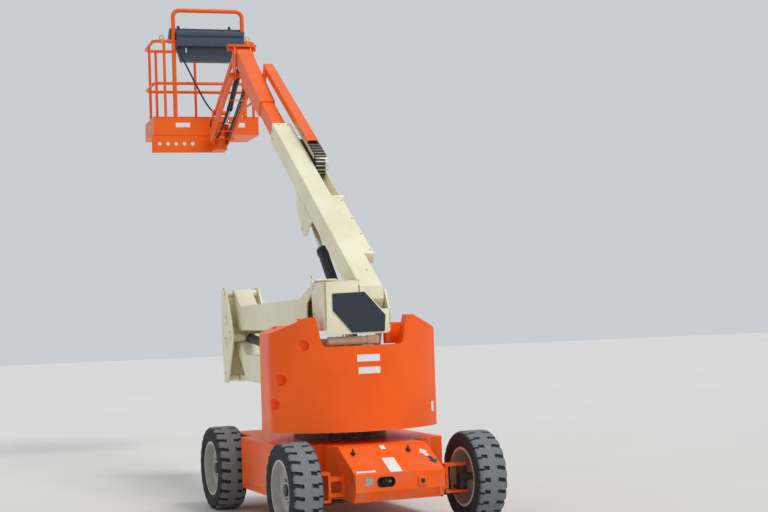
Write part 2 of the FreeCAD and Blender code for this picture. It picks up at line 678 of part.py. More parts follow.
def turntable_frame():
    link_x = s.tower_pin_x + s.link_lead
    link_z = s.tower_pin_z - s.link_drop
    inner = ARM_HALF + s.side_gap
    outer = inner + s.riser_plate
    middle = s.tower_side
    piece = Piece("turntable_frame")
    piece.pad("XY", RACE_LOW, PLATE_LOW, circle(0, 0, s.race_radius))
    piece.pad("XY", PLATE_LOW, TABLE_TOP, box_corners(
        -s.table_rear, s.table_front, -s.table_half_width, s.table_half_width, 80))
    rise = [(s.tower_pin_x - s.riser_foot_rear, TABLE_TOP),
            (s.tower_pin_x - 50, s.tower_pin_z - 80), (s.tower_pin_x - 50, s.tower_pin_z + 50, 35),
            (s.tower_pin_x + 50, s.tower_pin_z + 50, 35), (link_x + 60, link_z + 40),
            (s.tower_pin_x + s.riser_foot_front, TABLE_TOP)]
    piece.pad("XZ", middle - outer, middle - inner, rise)
    piece.pad("XZ", middle + inner, middle + outer, rise)
    pin_seats(piece, s.tower_pin_x, s.tower_pin_z, s.pin_radius,
              [(middle - outer, middle + outer)], s.spacer_radius, [])
    near = LINK_HALF + s.spacer_gap
    pin_seats(piece, link_x, link_z, s.pin_radius, [(middle - outer, middle + outer)],
              s.spacer_radius, [(middle - inner, middle - near), (middle + near, middle + inner)])
    keep(piece, TABLE)


# Round pockets in the casting's rear face: distance from its left side, height, and how far
# the floor lies ahead of the rearmost point
TAIL_POCKETS = [(230, 1440, 166), (70, 1170, 311), (20, 975, 363)]


def counterweight():
    half = s.tail_half_width
    top = s.tail_top + 1
    flare = s.notch_half_width + s.notch_flare
    apex = s.tail_radius * math.sqrt(2)
    piece = Piece("counterweight")
    piece.pad("XY", s.tail_bottom, s.tail_top, [
        (-s.tail_front, half), (-s.tail_front, -half), (half - apex, -half, s.tail_corner),
        (-apex, 0, s.tail_radius), (half - apex, half, s.tail_corner)])
    piece.cut("XY", s.tail_bottom, s.tail_top,
              box_corners(-s.tail_radius + s.tail_wall, 0, -half + s.tail_side_wall,
                          half - s.tail_side_wall, 60))
    piece.cut("YZ", -s.tail_radius, 0, [
        (-s.notch_half_width, s.notch_bottom, s.notch_corner),
        (s.notch_half_width, s.notch_bottom, s.notch_corner), (flare, top), (-flare, top)])
    for side in (LEFT, RIGHT):
        piece.cut("YZ", -s.tail_radius, 0, [
            (side * s.horn_crest, s.tail_top), (side * (half + 1), s.tail_shoulder),
            (side * (half + 1), top), (side * s.horn_crest, top)])
    for inset, z, ahead in TAIL_POCKETS:
        piece.cut("YZ", -s.tail_radius, ahead - s.tail_radius,
                  circle(half - inset, z, s.pocket_radius))
    keep(piece, TABLE)


def side_cover(label, inner, outer):
    piece = Piece(label)
    piece.pad("XY", TABLE_TOP, s.side_box_height, box_corners(
        -s.tail_front + s.side_gap, s.side_box_front, inner, outer, s.side_box_corner))
    keep(piece, TABLE)


turntable_frame()
counterweight()
side_cover("side_cover_left", s.side_box_inner, s.side_box_outer)
side_cover("side_cover_right", -s.right_box_outer, -s.right_box_inner)


# Tower
def channel(piece, outline, inside):
    """An arm of bent plate, open below, from its side view and that of its inner room."""
    piece.pad("XZ", -ARM_HALF, ARM_HALF, outline)
    piece.cut("XZ", -ARM_HALF + s.arm_wall, ARM_HALF - s.arm_wall, inside)


def lower_arm():
    end = s.arm_length
    wall = s.arm_wall
    piece = Piece("lower_arm")
    channel(piece,
            [(-36, -20), (-30, 36), (60, 36), (330, -110), (end - 570, -110), (end - 302, 12),
             (end - 130, 12), (end - 60, 40), (end + 30, 40), (end + 30, -30), (end - 40, -45),
             (end - 300, -175), (end - 560, -366), (140, -366), (30, -60)],
            [(-60, -60), (-60, 36 - wall), (56, 36 - wall), (326, -110 - wall),
             (end - 566, -110 - wall), (end - 298, 12 - wall), (end - 126, 12 - wall),
             (end - 56, 40 - wall), (end + 60, 40 - wall), (end + 60, -500), (-60, -500)])
    for x in (size_of(0), end):
        piece.pad("XZ", -ARM_HALF, ARM_HALF, circle(x, 0, s.boss_radius))
    base_x, base_z = s.tower_base_x, s.tower_base_z
    gap = s.tower_eye_half + s.eye_side_gap
    for side in (LEFT, RIGHT):
        low, high = sides(side, gap, gap + s.lug_plate)
        piece.pad("XZ", low, high, [
            (base_x - 70, -112), (base_x - 30, base_z + 40, 20), (base_x + 30, base_z + 40, 20),
            (base_x + 70, -112)])
    piece.pad("XZ", -gap - s.lug_plate, gap + s.lug_plate,
              circle(base_x, base_z, s.pin_radius))
    for x in (size_of(0), end):
        piece.cut("XZ", -ARM_HALF, ARM_HALF, circle(x, 0, s.pin_radius + s.pin_gap))
    keep(piece, TABLE * LOWER_ARM)


def link(label, place, start):
    """A levelling link from an eye at the given place to one an arm's length ahead."""
    end = start + s.arm_length
    piece = Piece(label)
    piece.pad("XZ", -LINK_HALF, LINK_HALF, box_corners(
        start, end, -s.link_height / 2, s.link_height / 2))
    for x in (start, end):
        piece.pad("XZ", -LINK_HALF, LINK_HALF, circle(x, 0, s.link_eye))
    for x in (start, end):
        piece.cut("XZ", -LINK_HALF, LINK_HALF, circle(x, 0, s.pin_radius + s.pin_gap))
    keep(piece, place)


def upper_arm():
    rear = -s.arm_length
    wall = s.arm_wall
    piece = Piece("upper_arm")
    channel(piece,
            [(60, -35), (50, 46), (-60, 34), (-390, -134), (rear + 570, -108), (rear + 30, 20),
             (rear - 40, 38), (rear - 40, -30), (rear + 60, -40), (rear + 300, -150),
             (rear + 345, -375), (-120, -375), (-120, -215)],
            [(80, -500), (80, 46 - wall), (-57, 34 - wall), (-388, -134 - wall),
             (rear + 573, -108 - wall), (rear + 33, 20 - wall), (rear - 60, 38 - wall),
             (rear - 60, -500)])
    for x in (size_of(0), rear):
        piece.pad("XZ", -ARM_HALF, ARM_HALF, circle(x, 0, s.boss_radius))
    for x in (size_of(0), rear):
        piece.cut("XZ", -ARM_HALF, ARM_HALF, circle(x, 0, s.pin_radius + s.pin_gap))
    keep(piece, TABLE * at(*UPPER_FRONT, elevate(UPPER_TILT)))


def tower_knuckle():
    outer = s.knuckle_half_width
    inner = outer - s.knuckle_plate
    upper_x, upper_z = s.upper_pin_lead, s.upper_pin_rise
    rod_x, rod_z = -s.tower_rod_lag, s.tower_rod_rise
    foot_x = s.link_lead
    foot_z = -s.link_drop
    web = s.knuckle_web
    piece = Piece("tower_knuckle")
    cheek = [(upper_x - 60, upper_z + 55, 20), (upper_x + 170, upper_z + 60, 20),
             (upper_x + 230, upper_z - 415), (foot_x + 100, foot_z - 50, 20),
             (foot_x - 80, foot_z - 50, 20), (rod_x - 140, rod_z + 18, 60)]
    for side in (LEFT, RIGHT):
        low, high = sides(side, inner, outer)
        piece.pad("XZ", low, high, cheek)
    piece.pad("XZ", -inner, inner, [
        (upper_x + 160, upper_z + 20), (upper_x + 160 + web, upper_z + 20),
        (upper_x + 218 + web, upper_z - 415), (foot_x + 84 + web, foot_z - 30),
        (foot_x + 84, foot_z - 30), (upper_x + 218, upper_z - 415)])
    arm_near = ARM_HALF + s.spacer_gap
    link_near = LINK_HALF + s.spacer_gap
    for x, z, near in ((upper_x, upper_z, arm_near), (size_of(0), size_of(0), arm_near),
                       (upper_x - s.upper_link_lag, upper_z - s.upper_link_drop, link_near),
                       (foot_x, foot_z, link_near)):
        pin_seats(piece, x, z, s.pin_radius, [(-outer, outer)], s.spacer_radius,
                  [(-inner, -near), (near, inner)])
    eye = s.tower_eye_half + s.eye_side_gap
    pin_seats(piece, rod_x, rod_z, s.pin_radius, [(-outer, -eye), (eye, outer)],
              s.spacer_radius, [(-inner, -eye), (eye, inner)])
    keep(piece, TABLE * at(*FRONT_PIN))


lower_arm()
link("lower_link", TABLE * at(*LOWER_LINK_PIN, elevate(LOWER_TILT)), size_of(0))
upper_arm()
link("upper_link", TABLE * at(*UPPER_LINK_PIN, elevate(UPPER_TILT)), -s.arm_length)
tower_knuckle()


# Upright
def upright():
    left, mid, right = s.upright_left, s.upright_mid, s.upright_right
    plate = s.upright_plate
    rear, low, top = REAR_PIN_X - s.upright_reach, s.upright_bottom, s.upright_top
    base_x, base_z = LIFT_BASE_X, s.lift_base_z
    ear_top = s.boom_pin_z + 70
    foot = [(base_x + 50, base_z + 20), (base_x + 50, base_z - 45, 30),
            (base_x - 50, base_z - 45, 30), (base_x - 200, low)]
    piece = Piece("upright")
    piece.pad("XZ", left - plate, left, [
        (rear, low), (rear, top), (REAR_PIN_X + 55, top, 20), (REAR_PIN_X + 55, REAR_PIN_Z - 50),
        (REAR_PIN_X, low + 70), (REAR_PIN_X - 60, low)])
    piece.pad("XZ", mid, mid + plate, [
        (rear, low), (rear, top), (REAR_PIN_X + 55, top, 20), (REAR_PIN_X + 55, REAR_PIN_Z - 50),
        (REAR_PIN_X, low + 80)] + foot)
    piece.pad("XZ", -right, -right + plate, [
        (rear, low), (rear, ear_top), (BOOM_PIN_X + 50, ear_top, 30),
        (BOOM_PIN_X + 110, s.boom_pin_z - 120), (REAR_PIN_X, low + 80)] + foot)
    piece.pad("YZ", rear, rear + plate, [
        (-right, low), (left, low), (left, top), (mid, top), (mid, ear_top), (-right, ear_top)])
    piece.pad("XY", top - plate, top, box_corners(rear, REAR_PIN_X - 70, mid, left))
    near_arm = ARM_HALF + s.spacer_gap
    near_link = LINK_HALF + s.spacer_gap
    middle = s.tower_side
    pin_seats(piece, REAR_PIN_X, REAR_PIN_Z, s.pin_radius, [(mid, left)], s.spacer_radius,
              [(mid + plate, middle - near_arm)])
    pin_seats(piece, REAR_PIN_X - s.upper_link_lag, REAR_PIN_Z - s.upper_link_drop,
              s.pin_radius, [(mid, left)], s.spacer_radius,
              [(mid + plate, middle - near_link), (middle + near_link, left - plate)])
    pin_seats(piece, BOOM_PIN_X, s.boom_pin_z, s.boom_pin_radius, [(-right, mid + plate)],
              s.spacer_radius, [])
    eye = s.eye_half_width + s.eye_side_gap
    pin_seats(piece, base_x, base_z, s.pin_radius, [(-right, mid + plate)], s.spacer_radius,
              [(-right + plate, s.boom_side - eye), (s.boom_side + eye, mid)])
    keep(piece, TABLE)


def upright_cover():
    rear = REAR_PIN_X - s.upright_reach
    piece = Piece("upright_cover")
    piece.pad("YZ", rear - s.cover_thickness, rear, [
        (249, 1843), (-15, 1851), (-181, 1664), (-171, 1534), (95, 1530), (248, 1710)])
    keep(piece, TABLE)


upright()
upright_cover()


# Cylinders
def ram(name, start, end, bore, rod, eye, half, shorter):
    """A barrel pinned at its foot and a rod that can draw its eye in by the shorter length."""
    place = TABLE * at(*start, elevate(slope(start, end)))
    length = size_of(start.distanceToPoint(end))
    foot = eye + s.ram_neck
    mouth = length - shorter - eye - s.ram_neck
    piece = Piece(name + "_barrel")
    piece.pad("YZ", 0, foot, circle(0, 0, half * 0.9))
    piece.pad("YZ", foot, mouth, circle(0, 0, bore))
    piece.pad("YZ", mouth - s.ram_gland, mouth, circle(0, 0, bore + s.ram_collar))
    piece.pad("XZ", -half, half, circle(0, 0, eye))
    piece.cut("YZ", foot + s.ram_base, mouth, circle(0, 0, rod + s.ram_fit))
    piece.cut("XZ", -half, half, circle(0, 0, s.pin_radius + s.pin_gap))
    keep(piece, place)
    piece = Piece(name + "_rod")
    piece.pad("YZ", foot + s.ram_base + shorter + 4, length, circle(0, 0, rod))
    piece.pad("XZ", -half, half, circle(length, 0, eye))
    keep(piece, place)


ram("lift_cylinder", LIFT_BASE, LIFT_EYE, s.lift_barrel, s.lift_rod, s.lift_eye,
    s.eye_half_width, s.lift_room)
ram("tower_cylinder", TOWER_BASE, TOWER_ROD, s.tower_barrel, s.tower_rod, s.tower_eye,
    s.tower_eye_half, s.tower_room)
ram("jib_cylinder", JIB_RAM_BASE, JIB_RAM_EYE, s.jib_barrel, s.jib_rod, s.jib_ram_eye,
    s.jib_ram_half_width, s.jib_room)


# Main boom
def sleeve_pads(outer, inner, floor, ceiling):
    """The wear pads between two boom sections, as pairs of outlines across the boom."""
    side_low, side_high = floor[1] + s.pad_corner, ceiling[0] - s.pad_corner
    half = inner - s.pad_corner
    return [(box_corners(-half, half, *floor), box_corners(-half, half, *ceiling)),
            (box_corners(-outer, -inner, side_low, side_high),
             box_corners(inner, outer, side_low, side_high))]


def base_boom():
    half = s.boom_width / 2
    top = s.boom_axis + s.boom_height / 2
    bottom = s.boom_axis - s.boom_height / 2
    wall = s.boom_wall
    piece = Piece("base_boom")
    piece.pad("YZ", -s.boom_rear, s.boom_front, box_corners(-half, half, bottom, top, 12))
    piece.cut("YZ", 150, s.boom_front, box_corners(
        -half + wall, half - wall, bottom + wall, top - wall, 6))
    for low, high in sleeve_pads(half - wall, s.fly_width / 2 + s.pin_gap,
                                 (bottom + wall, s.fly_top - s.fly_height - s.pin_gap),
                                 (s.fly_top + s.pin_gap, top - wall)):
        piece.pad("YZ", s.boom_front - s.pad_length, s.boom_front - s.pad_inset, low, high)
    piece.cut("XZ", -half, half, [(-s.boom_rear, 55), (-55, top), (-s.boom_rear, top)])
    piece.cut("XZ", -half, half, circle(0, 0, s.boom_pin_radius + s.pin_gap))
    x, z = s.lift_pin_x, -s.lift_pin_drop
    for side in (LEFT, RIGHT):
        low, high = sides(side, half - s.lug_plate, half)
        piece.pad("XZ", low, high, [
            (x - 275, bottom + 1), (x - 124, z - 73), (x - 60, z - 111, 20), (x + 16, z - 83, 30),
            (x + 311, z + 40), (x + 336, bottom + 1)])
    clear = half - s.lug_plate
    piece.pad("XZ", -clear, clear, [
        (x + 160, z - 8), (x + 285, z + 44), (x + 285 - s.lug_brace, z + 44 + s.lug_brace),
        (x + 160 - s.lug_brace, z - 8 + s.lug_brace)])
    tray = s.tray_side + s.tray_width / 2
    near = s.tray_side - s.tray_width / 2
    tin = s.tray_wall
    piece.pad("YZ", s.tray_start, s.tray_end, [
        (-tray, 0), (-near, 0), (-near, s.tray_height), (-near - tin, s.tray_height),
        (-near - tin, tin), (-tray + tin, tin), (-tray + tin, s.tray_height),
        (-tray, s.tray_height)])
    for x in (s.tray_start + 80, (s.tray_start + s.tray_end) / 2, s.tray_end - 140):
        piece.pad("YZ", x, x + 60, box_corners(-near, -half, 20, 70))
    keep(piece, TABLE * BOOM)


def fly_boom():
    half = s.fly_width / 2
    bottom = s.fly_top - s.fly_height
    wall = s.fly_wall
    nose = s.nose_half_width
    tip_x, tip_z = TIP_PIN_X, s.tip_pin_z
    piece = Piece("fly_boom")
    piece.pad("YZ", s.fly_rear, s.fly_shoulder + 20,
              box_corners(-half, half, bottom, s.fly_top, 10))
    piece.cut("YZ", s.fly_rear, s.fly_shoulder, box_corners(
        -half + wall, half - wall, bottom + wall, s.fly_top - wall, 5))
    sleeve = s.boom_width / 2 - s.boom_wall - s.pin_gap
    floor = s.boom_axis - s.boom_height / 2 + s.boom_wall + s.pin_gap
    ceiling = s.boom_axis + s.boom_height / 2 - s.boom_wall - s.pin_gap
    for low, high in sleeve_pads(sleeve, half, (floor, bottom), (s.fly_top, ceiling)):
        piece.pad("YZ", s.fly_rear, s.fly_rear + s.pad_length, low, high)
    piece.pad("XZ", -nose, nose, [
        (s.fly_shoulder, bottom - 7), (s.fly_shoulder, s.fly_top + 12), (tip_x + 10, s.nose_top),
        (tip_x + 10, tip_z - 40), (tip_x - 185, tip_z - 44),
        (s.fly_shoulder + s.nose_chin_reach, -s.nose_chin)])
    piece.pad("XZ", -nose, nose, circle(tip_x, tip_z, s.nose_boss))
    piece.cut("XZ", -nose, nose, circle(tip_x, tip_z, s.tip_pin_radius + s.pin_gap))
    rail = s.tray_side - s.tray_width / 2
    piece.pad("XZ", -rail, -nose, box_corners(RAIL_END - 200, RAIL_END - 100, 100, 200))
    keep(piece, TABLE * BOOM)


def hose_rail():
    left = s.tray_side + s.tray_width / 2
    right = s.tray_side - s.tray_width / 2
    low = s.boom_axis + s.boom_height / 2 + s.rail_rise
    high = low + s.rail_height
    wall = s.rail_wall
    piece = Piece("hose_rail")
    piece.pad("YZ", s.rail_start, RAIL_END, [
        (-left, low), (-left, high), (-right, high), (-right, low), (-right - wall, low),
        (-right - wall, high - wall), (-left + wall, high - wall), (-left + wall, low)])
    keep(piece, TABLE * BOOM)


TRACK_LINKS = 11


def power_track():
    half = s.track_thickness / 2
    low = s.track_seat
    high = low + 2 * (s.track_bend_radius + half)
    rear = s.track_bend - s.track_bend_radius - half
    outer = s.track_bend_radius + half - 0.5
    inner = s.track_bend_radius - half - 0.5
    end = s.track_bend + s.track_run
    thick = s.track_thickness
    side = s.track_width / 2
    piece = Piece("power_track")
    piece.pad("XZ", -s.tray_side - side, -s.tray_side + side, [
        (end, high), (rear, high, outer), (rear, low, outer), (end, low), (end, low + thick),
        (rear + thick, low + thick, inner), (rear + thick, high - thick, inner),
        (end, high - thick)])
    joints = [end - s.track_pitch * (n + 1) for n in range(TRACK_LINKS)]
    slots = [box_corners(x, x + s.track_slot, floor, floor + thick)
             for x in joints for floor in (low, high - thick)]
    for outside, inside in ((-s.tray_side - side, -s.tray_side - side + s.track_relief),
                            (-s.tray_side + side - s.track_relief, -s.tray_side + side)):
        piece.cut("XZ", outside, inside, *slots)
    keep(piece, TABLE * BOOM)


for build in (base_boom, fly_boom, hose_rail, power_track):
    build()


# Tip bracket and jib
def level_bracket():
    near = s.tip_plate_side
    far = near + s.tip_plate
    upper_x, upper_z = s.jib_upper_x, s.jib_upper_z
    lower_x, lower_z = s.jib_lower_x, s.jib_lower_z
    ram_x, ram_z = s.jib_ram_x, s.jib_ram_z
    pin = s.jib_pin
    reach = s.jib_bar_side + s.jib_bar_width / 2 + 6
    piece = Piece("level_bracket")
    for side in (LEFT, RIGHT):
        low, high = sides(side, near, far)
        piece.pad("XZ", low, high, [
            (-50, -45, 20), (-50, 45, 20), (upper_x - 45, upper_z + 46, 25),
            (upper_x + 45, upper_z + 46, 25), (ram_x + 42, ram_z + 40, 20),
            (ram_x + 42, ram_z - 40, 20), (lower_x + 45, lower_z - 46, 25),
            (lower_x - 45, lower_z - 46, 25)])
    pin_seats(piece, size_of(0), size_of(0), s.tip_pin_radius, [(-far, far)], pin, [])
    link_low = s.jib_link_side - s.jib_link_width / 2 - 4
    link_high = s.jib_link_side + s.jib_link_width / 2 + 4
    pin_seats(piece, upper_x, upper_z, pin, [(-reach, reach)], pin + 10,
              [(-near, link_low), (link_high, near)])
    pin_seats(piece, lower_x, lower_z, pin, [(-reach, reach)], pin + 10, [(-near, near)])
    eye = s.jib_ram_half_width + s.eye_side_gap
    inner = s.jib_link_side - s.jib_link_width / 2 - 6
    pin_seats(piece, ram_x, ram_z, s.pin_radius, [(-far, inner)], s.pin_radius + 5,
              [(-near, -eye), (eye, inner)])
    piece.pad("XZ", eye, inner, [
        (ram_x - 18, ram_z), (ram_x + 18, ram_z), (upper_x + 18, upper_z),
        (upper_x - 18, upper_z)])
    keep(piece, TABLE * at(*TIP_PIN))


def jib_arm():
    near = s.jib_bar_side - s.jib_bar_width / 2
    far = s.jib_bar_side + s.jib_bar_width / 2
    half = s.jib_bar_height / 2
    end = s.jib_length
    stub = s.jib_ram_half_width + s.eye_side_gap
    piece = Piece("jib_arm")
    for side in (LEFT, RIGHT):
        low, high = sides(side, near, far)
        piece.pad("YZ", 0, end, box_corners(low, high, -half, half, 8))
        for x in (size_of(0), end):
            piece.pad("XZ", low, high, circle(x, 0, s.jib_eye))
        piece.cut("XZ", low, high, circle(0, 0, s.jib_pin + s.pin_gap))
        low, high = sides(side, stub, near)
        piece.pad("XZ", low, high, circle(s.jib_ram_reach, 0, s.jib_pin))
    piece.pad("XZ", -far - 6, far + 6, circle(end, 0, s.jib_pin))
    keep(piece, TABLE * at(*JIB_LOWER, JIB_TURN))


def jib_link():
    low = s.jib_link_side - s.jib_link_width / 2
    high = s.jib_link_side + s.jib_link_width / 2
    half = s.jib_link_height / 2
    piece = Piece("jib_link")
    piece.pad("YZ", 0, s.jib_length, box_corners(low, high, -half, half, 5))
    for x in (size_of(0), s.jib_length):
        piece.pad("XZ", low, high, circle(x, 0, s.jib_eye - 6))
    for x in (size_of(0), s.jib_length):
        piece.cut("XZ", low, high, circle(x, 0, s.jib_pin + s.pin_gap))
    keep(piece, TABLE * at(*JIB_UPPER, JIB_TURN))


def jib_head():
    near = s.tip_plate_side
    far = near + s.head_plate
    up_x = s.jib_upper_x - s.jib_lower_x
    up_z = s.jib_upper_z - s.jib_lower_z
    axis = s.head_reach
    piece = Piece("jib_head")
    piece.pad("XY", s.turn_low, s.turn_high, circle(axis, 0, s.turn_radius))
    for side in (LEFT, RIGHT):
        low, high = sides(side, near, far)
        piece.pad("XZ", low, high, [
            (-42, -42, 20), (up_x - 42, up_z + 42, 25), (up_x + 42, up_z + 42, 25),
            (up_x + 60, s.turn_high), (axis, s.turn_high - 10), (axis, s.turn_low + 10),
            (0, s.turn_low + 20)])
    link_low = s.jib_link_side - s.jib_link_width / 2 - 4
    link_high = s.jib_link_side + s.jib_link_width / 2 + 4
    pin_seats(piece, up_x, up_z, s.jib_pin, [(-far, far)], s.jib_pin + 8,
              [(-near, link_low), (link_high, near)])
    piece.cut("XZ", -far, far, circle(0, 0, s.jib_pin + s.pin_gap))
    piece.cut("XY", s.turn_low, s.turn_low + 85, circle(axis, 0, s.turn_pin + s.pin_gap))
    keep(piece, TABLE * at(*HEAD_LOWER))


for build in (level_bracket, jib_arm, jib_link, jib_head):
    build()

# Platform
PLATFORM = TABLE * at(*TURN_AXIS)
NEAR = s.platform_rear
FAR = s.platform_rear + s.platform_depth
SIDE_LEFT = s.platform_shift + s.platform_width / 2
SIDE_RIGHT = s.platform_shift - s.platform_width / 2
RAIL_IN = s.rail_tube + 3


def platform_mount():
    top = s.turn_low - s.turn_gap
    plate = s.turn_plate_width / 2
    beam_top = s.floor_level - s.floor_thickness
    wall = s.beam_wall
    back = NEAR + s.beam_depth
    piece = Piece("platform_mount")
    piece.pad("XY", top - s.turn_plate, top, circle(0, 0, s.turn_radius))
    piece.pad("XY", top - s.turn_plate, top, box_corners(0, NEAR + wall, -plate, plate))
    piece.pad("XY", top, s.turn_low + 80, circle(0, 0, s.turn_pin))
    piece.pad("XZ", -s.beam_right, s.beam_left, [
        (NEAR, s.beam_low), (back, s.beam_low), (back, s.beam_low + wall),
        (NEAR + wall, s.beam_low + wall), (NEAR + wall, beam_top - wall),
        (back, beam_top - wall), (back, beam_top), (NEAR, beam_top)])
    for number in range(5):
        piece.cut("YZ", NEAR, NEAR + wall, circle(
            s.beam_left - 95 - s.beam_hole_pitch * number, (s.beam_low + beam_top) / 2,
            s.beam_hole))
    keep(piece, PLATFORM)


def platform_floor():
    sheet_in = s.toe_sheet
    piece = Piece("platform_floor")
    piece.pad("XY", s.floor_level - s.floor_thickness, s.floor_level,
              box_corners(NEAR, FAR, SIDE_RIGHT, SIDE_LEFT))
    piece.pad("XY", s.floor_level - 1, s.toe_high, box_corners(NEAR, FAR, SIDE_RIGHT, SIDE_LEFT),
              box_corners(NEAR + sheet_in, FAR - sheet_in, SIDE_RIGHT + sheet_in,
                          SIDE_LEFT - sheet_in))
    piece.cut("XY", s.floor_level, s.toe_high, box_corners(
        s.gate_hinge_x, FAR - 2 * RAIL_IN, SIDE_RIGHT - 1, SIDE_RIGHT + 2 * sheet_in))
    keep(piece, PLATFORM)


def platform_rails():
    near, far = NEAR + RAIL_IN, FAR - RAIL_IN
    left, right = SIDE_LEFT - RAIL_IN, SIDE_RIGHT + RAIL_IN
    tube = s.rail_tube
    piece = Piece("platform_rails")
    corner = s.rail_bend + s.post_inset
    for x, y in ((near, -s.guard_right), (near, s.guard_left), (far, left - corner),
                 (far, right), ((near + far) / 2, left), (s.gate_hinge_x, right),
                 (near, right + corner), (near, left - corner), (far, (left + right) / 2)):
        piece.pad("XY", s.floor_level, s.top_rail, circle(x, y, s.post_radius))
    for level in (s.mid_rail, s.top_rail):
        piece.pipe("XY", level, [(s.gate_hinge_x, right), (near, right, s.rail_bend),
                                 (near, left, s.rail_bend), (far, left, s.rail_bend),
                                 (far, right)], tube)
    piece.pipe("YZ", near, [(-s.guard_right, s.top_rail),
                            (-s.guard_right, s.guard_rail, s.rail_bend),
                            (s.guard_left, s.guard_rail, s.rail_bend),
                            (s.guard_left, s.top_rail)], s.post_radius)
    keep(piece, PLATFORM)


def control_console():
    rear = NEAR + RAIL_IN + s.rail_tube + s.soft_gap
    piece = Piece("control_console")
    piece.pad("XZ", -s.console_right, s.console_left, [
        (rear, s.console_low), (rear, s.console_high), (rear + 60, s.console_high),
        (rear + s.console_depth, s.console_low + 60), (rear + s.console_depth, s.console_low)])
    inset = s.console_foot_inset
    piece.pad("YZ", rear, rear + s.console_foot_depth, [
        (-s.console_right + inset / 2, s.console_low), (s.console_left - inset / 2, s.console_low),
        (s.console_left - inset, s.console_foot), (inset - s.console_right, s.console_foot)])
    keep(piece, PLATFORM)


def platform_gate():
    tube = s.rail_tube - 4
    start = s.rail_tube + 24
    end = FAR - RAIL_IN - s.rail_tube - 6 - tube - s.gate_hinge_x
    top = s.top_rail - 28
    low = s.mid_rail - 200
    piece = Piece("platform_gate")
    piece.pipe("XZ", 0, [((start + end) / 2, low), (end, low, 60), (end, top, 60),
                         (start, top, 60), (start, low, 60)], tube, True)
    for level in (s.mid_rail - 90, s.top_rail - 160):
        piece.pad("XY", level, level + 40, circle(0, 0, s.rail_tube + 8),
                  circle(0, 0, s.post_radius + s.pin_gap))
        piece.pad("XZ", -4, 4, box_corners(s.rail_tube + 4, start, level, level + 40))
    keep(piece, PLATFORM * at(value(s.gate_hinge_x), value(SIDE_RIGHT + RAIL_IN), 0))


for build in (platform_mount, platform_floor, platform_rails, control_console, platform_gate):
    build()

# Check and output
doc.recompute()
broken = [item.Name for item in doc.Objects if {"Invalid", "Error"} & set(item.State)]
if broken:
    raise RuntimeError("not rebuilt: " + ", ".join(broken))
for node in NODES:
    if node.Shape.isNull() or not node.Shape.isValid():
        raise RuntimeError("not a valid solid: " + node.Label)
os.makedirs("parts", exist_ok=True)
for node in NODES:
    node.Shape.exportStep(f"parts/{node.Label}.step")

PIVOTS = {
    "slew": TABLE.Base, "tower_pin": TABLE.multVec(TOWER_PIN),
    "lower_link_pin": TABLE.multVec(LOWER_LINK_PIN), "front_pin": TABLE.multVec(FRONT_PIN),
    "upper_front": TABLE.multVec(UPPER_FRONT), "upper_rear": TABLE.multVec(UPPER_REAR),
    "upper_link_pin": TABLE.multVec(UPPER_LINK_PIN),
    "tower_base": TABLE.multVec(TOWER_BASE),
    "tower_rod": TABLE.multVec(TOWER_ROD), "boom_pin": TABLE.multVec(BOOM_PIN),
    "lift_base": TABLE.multVec(LIFT_BASE), "lift_eye": TABLE.multVec(LIFT_EYE),
    "tip_pin": TABLE.multVec(TIP_PIN), "jib_upper": TABLE.multVec(JIB_UPPER),
    "jib_lower": TABLE.multVec(JIB_LOWER), "head_lower": TABLE.multVec(HEAD_LOWER),
    "head_upper": TABLE.multVec(HEAD_UPPER), "jib_ram_base": TABLE.multVec(JIB_RAM_BASE),
    "jib_ram_eye": TABLE.multVec(JIB_RAM_EYE), "turn_axis": TABLE.multVec(TURN_AXIS),
    "gate": PLATFORM.multVec(Vector(value(s.gate_hinge_x), value(SIDE_RIGHT + RAIL_IN), 0)),
    "kingpin_left": CHASSIS.multVec(
        Vector(-value(AXLE_X), value(KINGPIN_SIDE), value(s.tyre_radius))),
}
for name, point in PIVOTS.items():
    print(f"pivot {name} {point.x:.4f} {point.y:.4f} {point.z:.4f}")
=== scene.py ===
import math

import bpy
from mathutils import Matrix, Vector


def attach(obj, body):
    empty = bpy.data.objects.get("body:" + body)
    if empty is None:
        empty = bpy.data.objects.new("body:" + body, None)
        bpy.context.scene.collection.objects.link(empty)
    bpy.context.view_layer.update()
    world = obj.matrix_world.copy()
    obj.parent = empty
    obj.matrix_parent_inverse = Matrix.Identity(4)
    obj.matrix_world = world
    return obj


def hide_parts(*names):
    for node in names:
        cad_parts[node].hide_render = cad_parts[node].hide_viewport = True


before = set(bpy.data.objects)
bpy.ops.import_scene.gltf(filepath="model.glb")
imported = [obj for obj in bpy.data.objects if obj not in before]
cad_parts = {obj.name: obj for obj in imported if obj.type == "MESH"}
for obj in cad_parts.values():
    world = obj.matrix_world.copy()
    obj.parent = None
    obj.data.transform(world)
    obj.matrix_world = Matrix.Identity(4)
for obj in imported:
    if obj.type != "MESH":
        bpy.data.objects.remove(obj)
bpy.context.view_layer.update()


def elevated(degrees):
    """A turn that raises the X axis by the given angle."""
    return Matrix.Rotation(math.radians(-degrees), 4, "Y")


def placed(x, y, z):
    return Matrix.Translation((x, y, z))


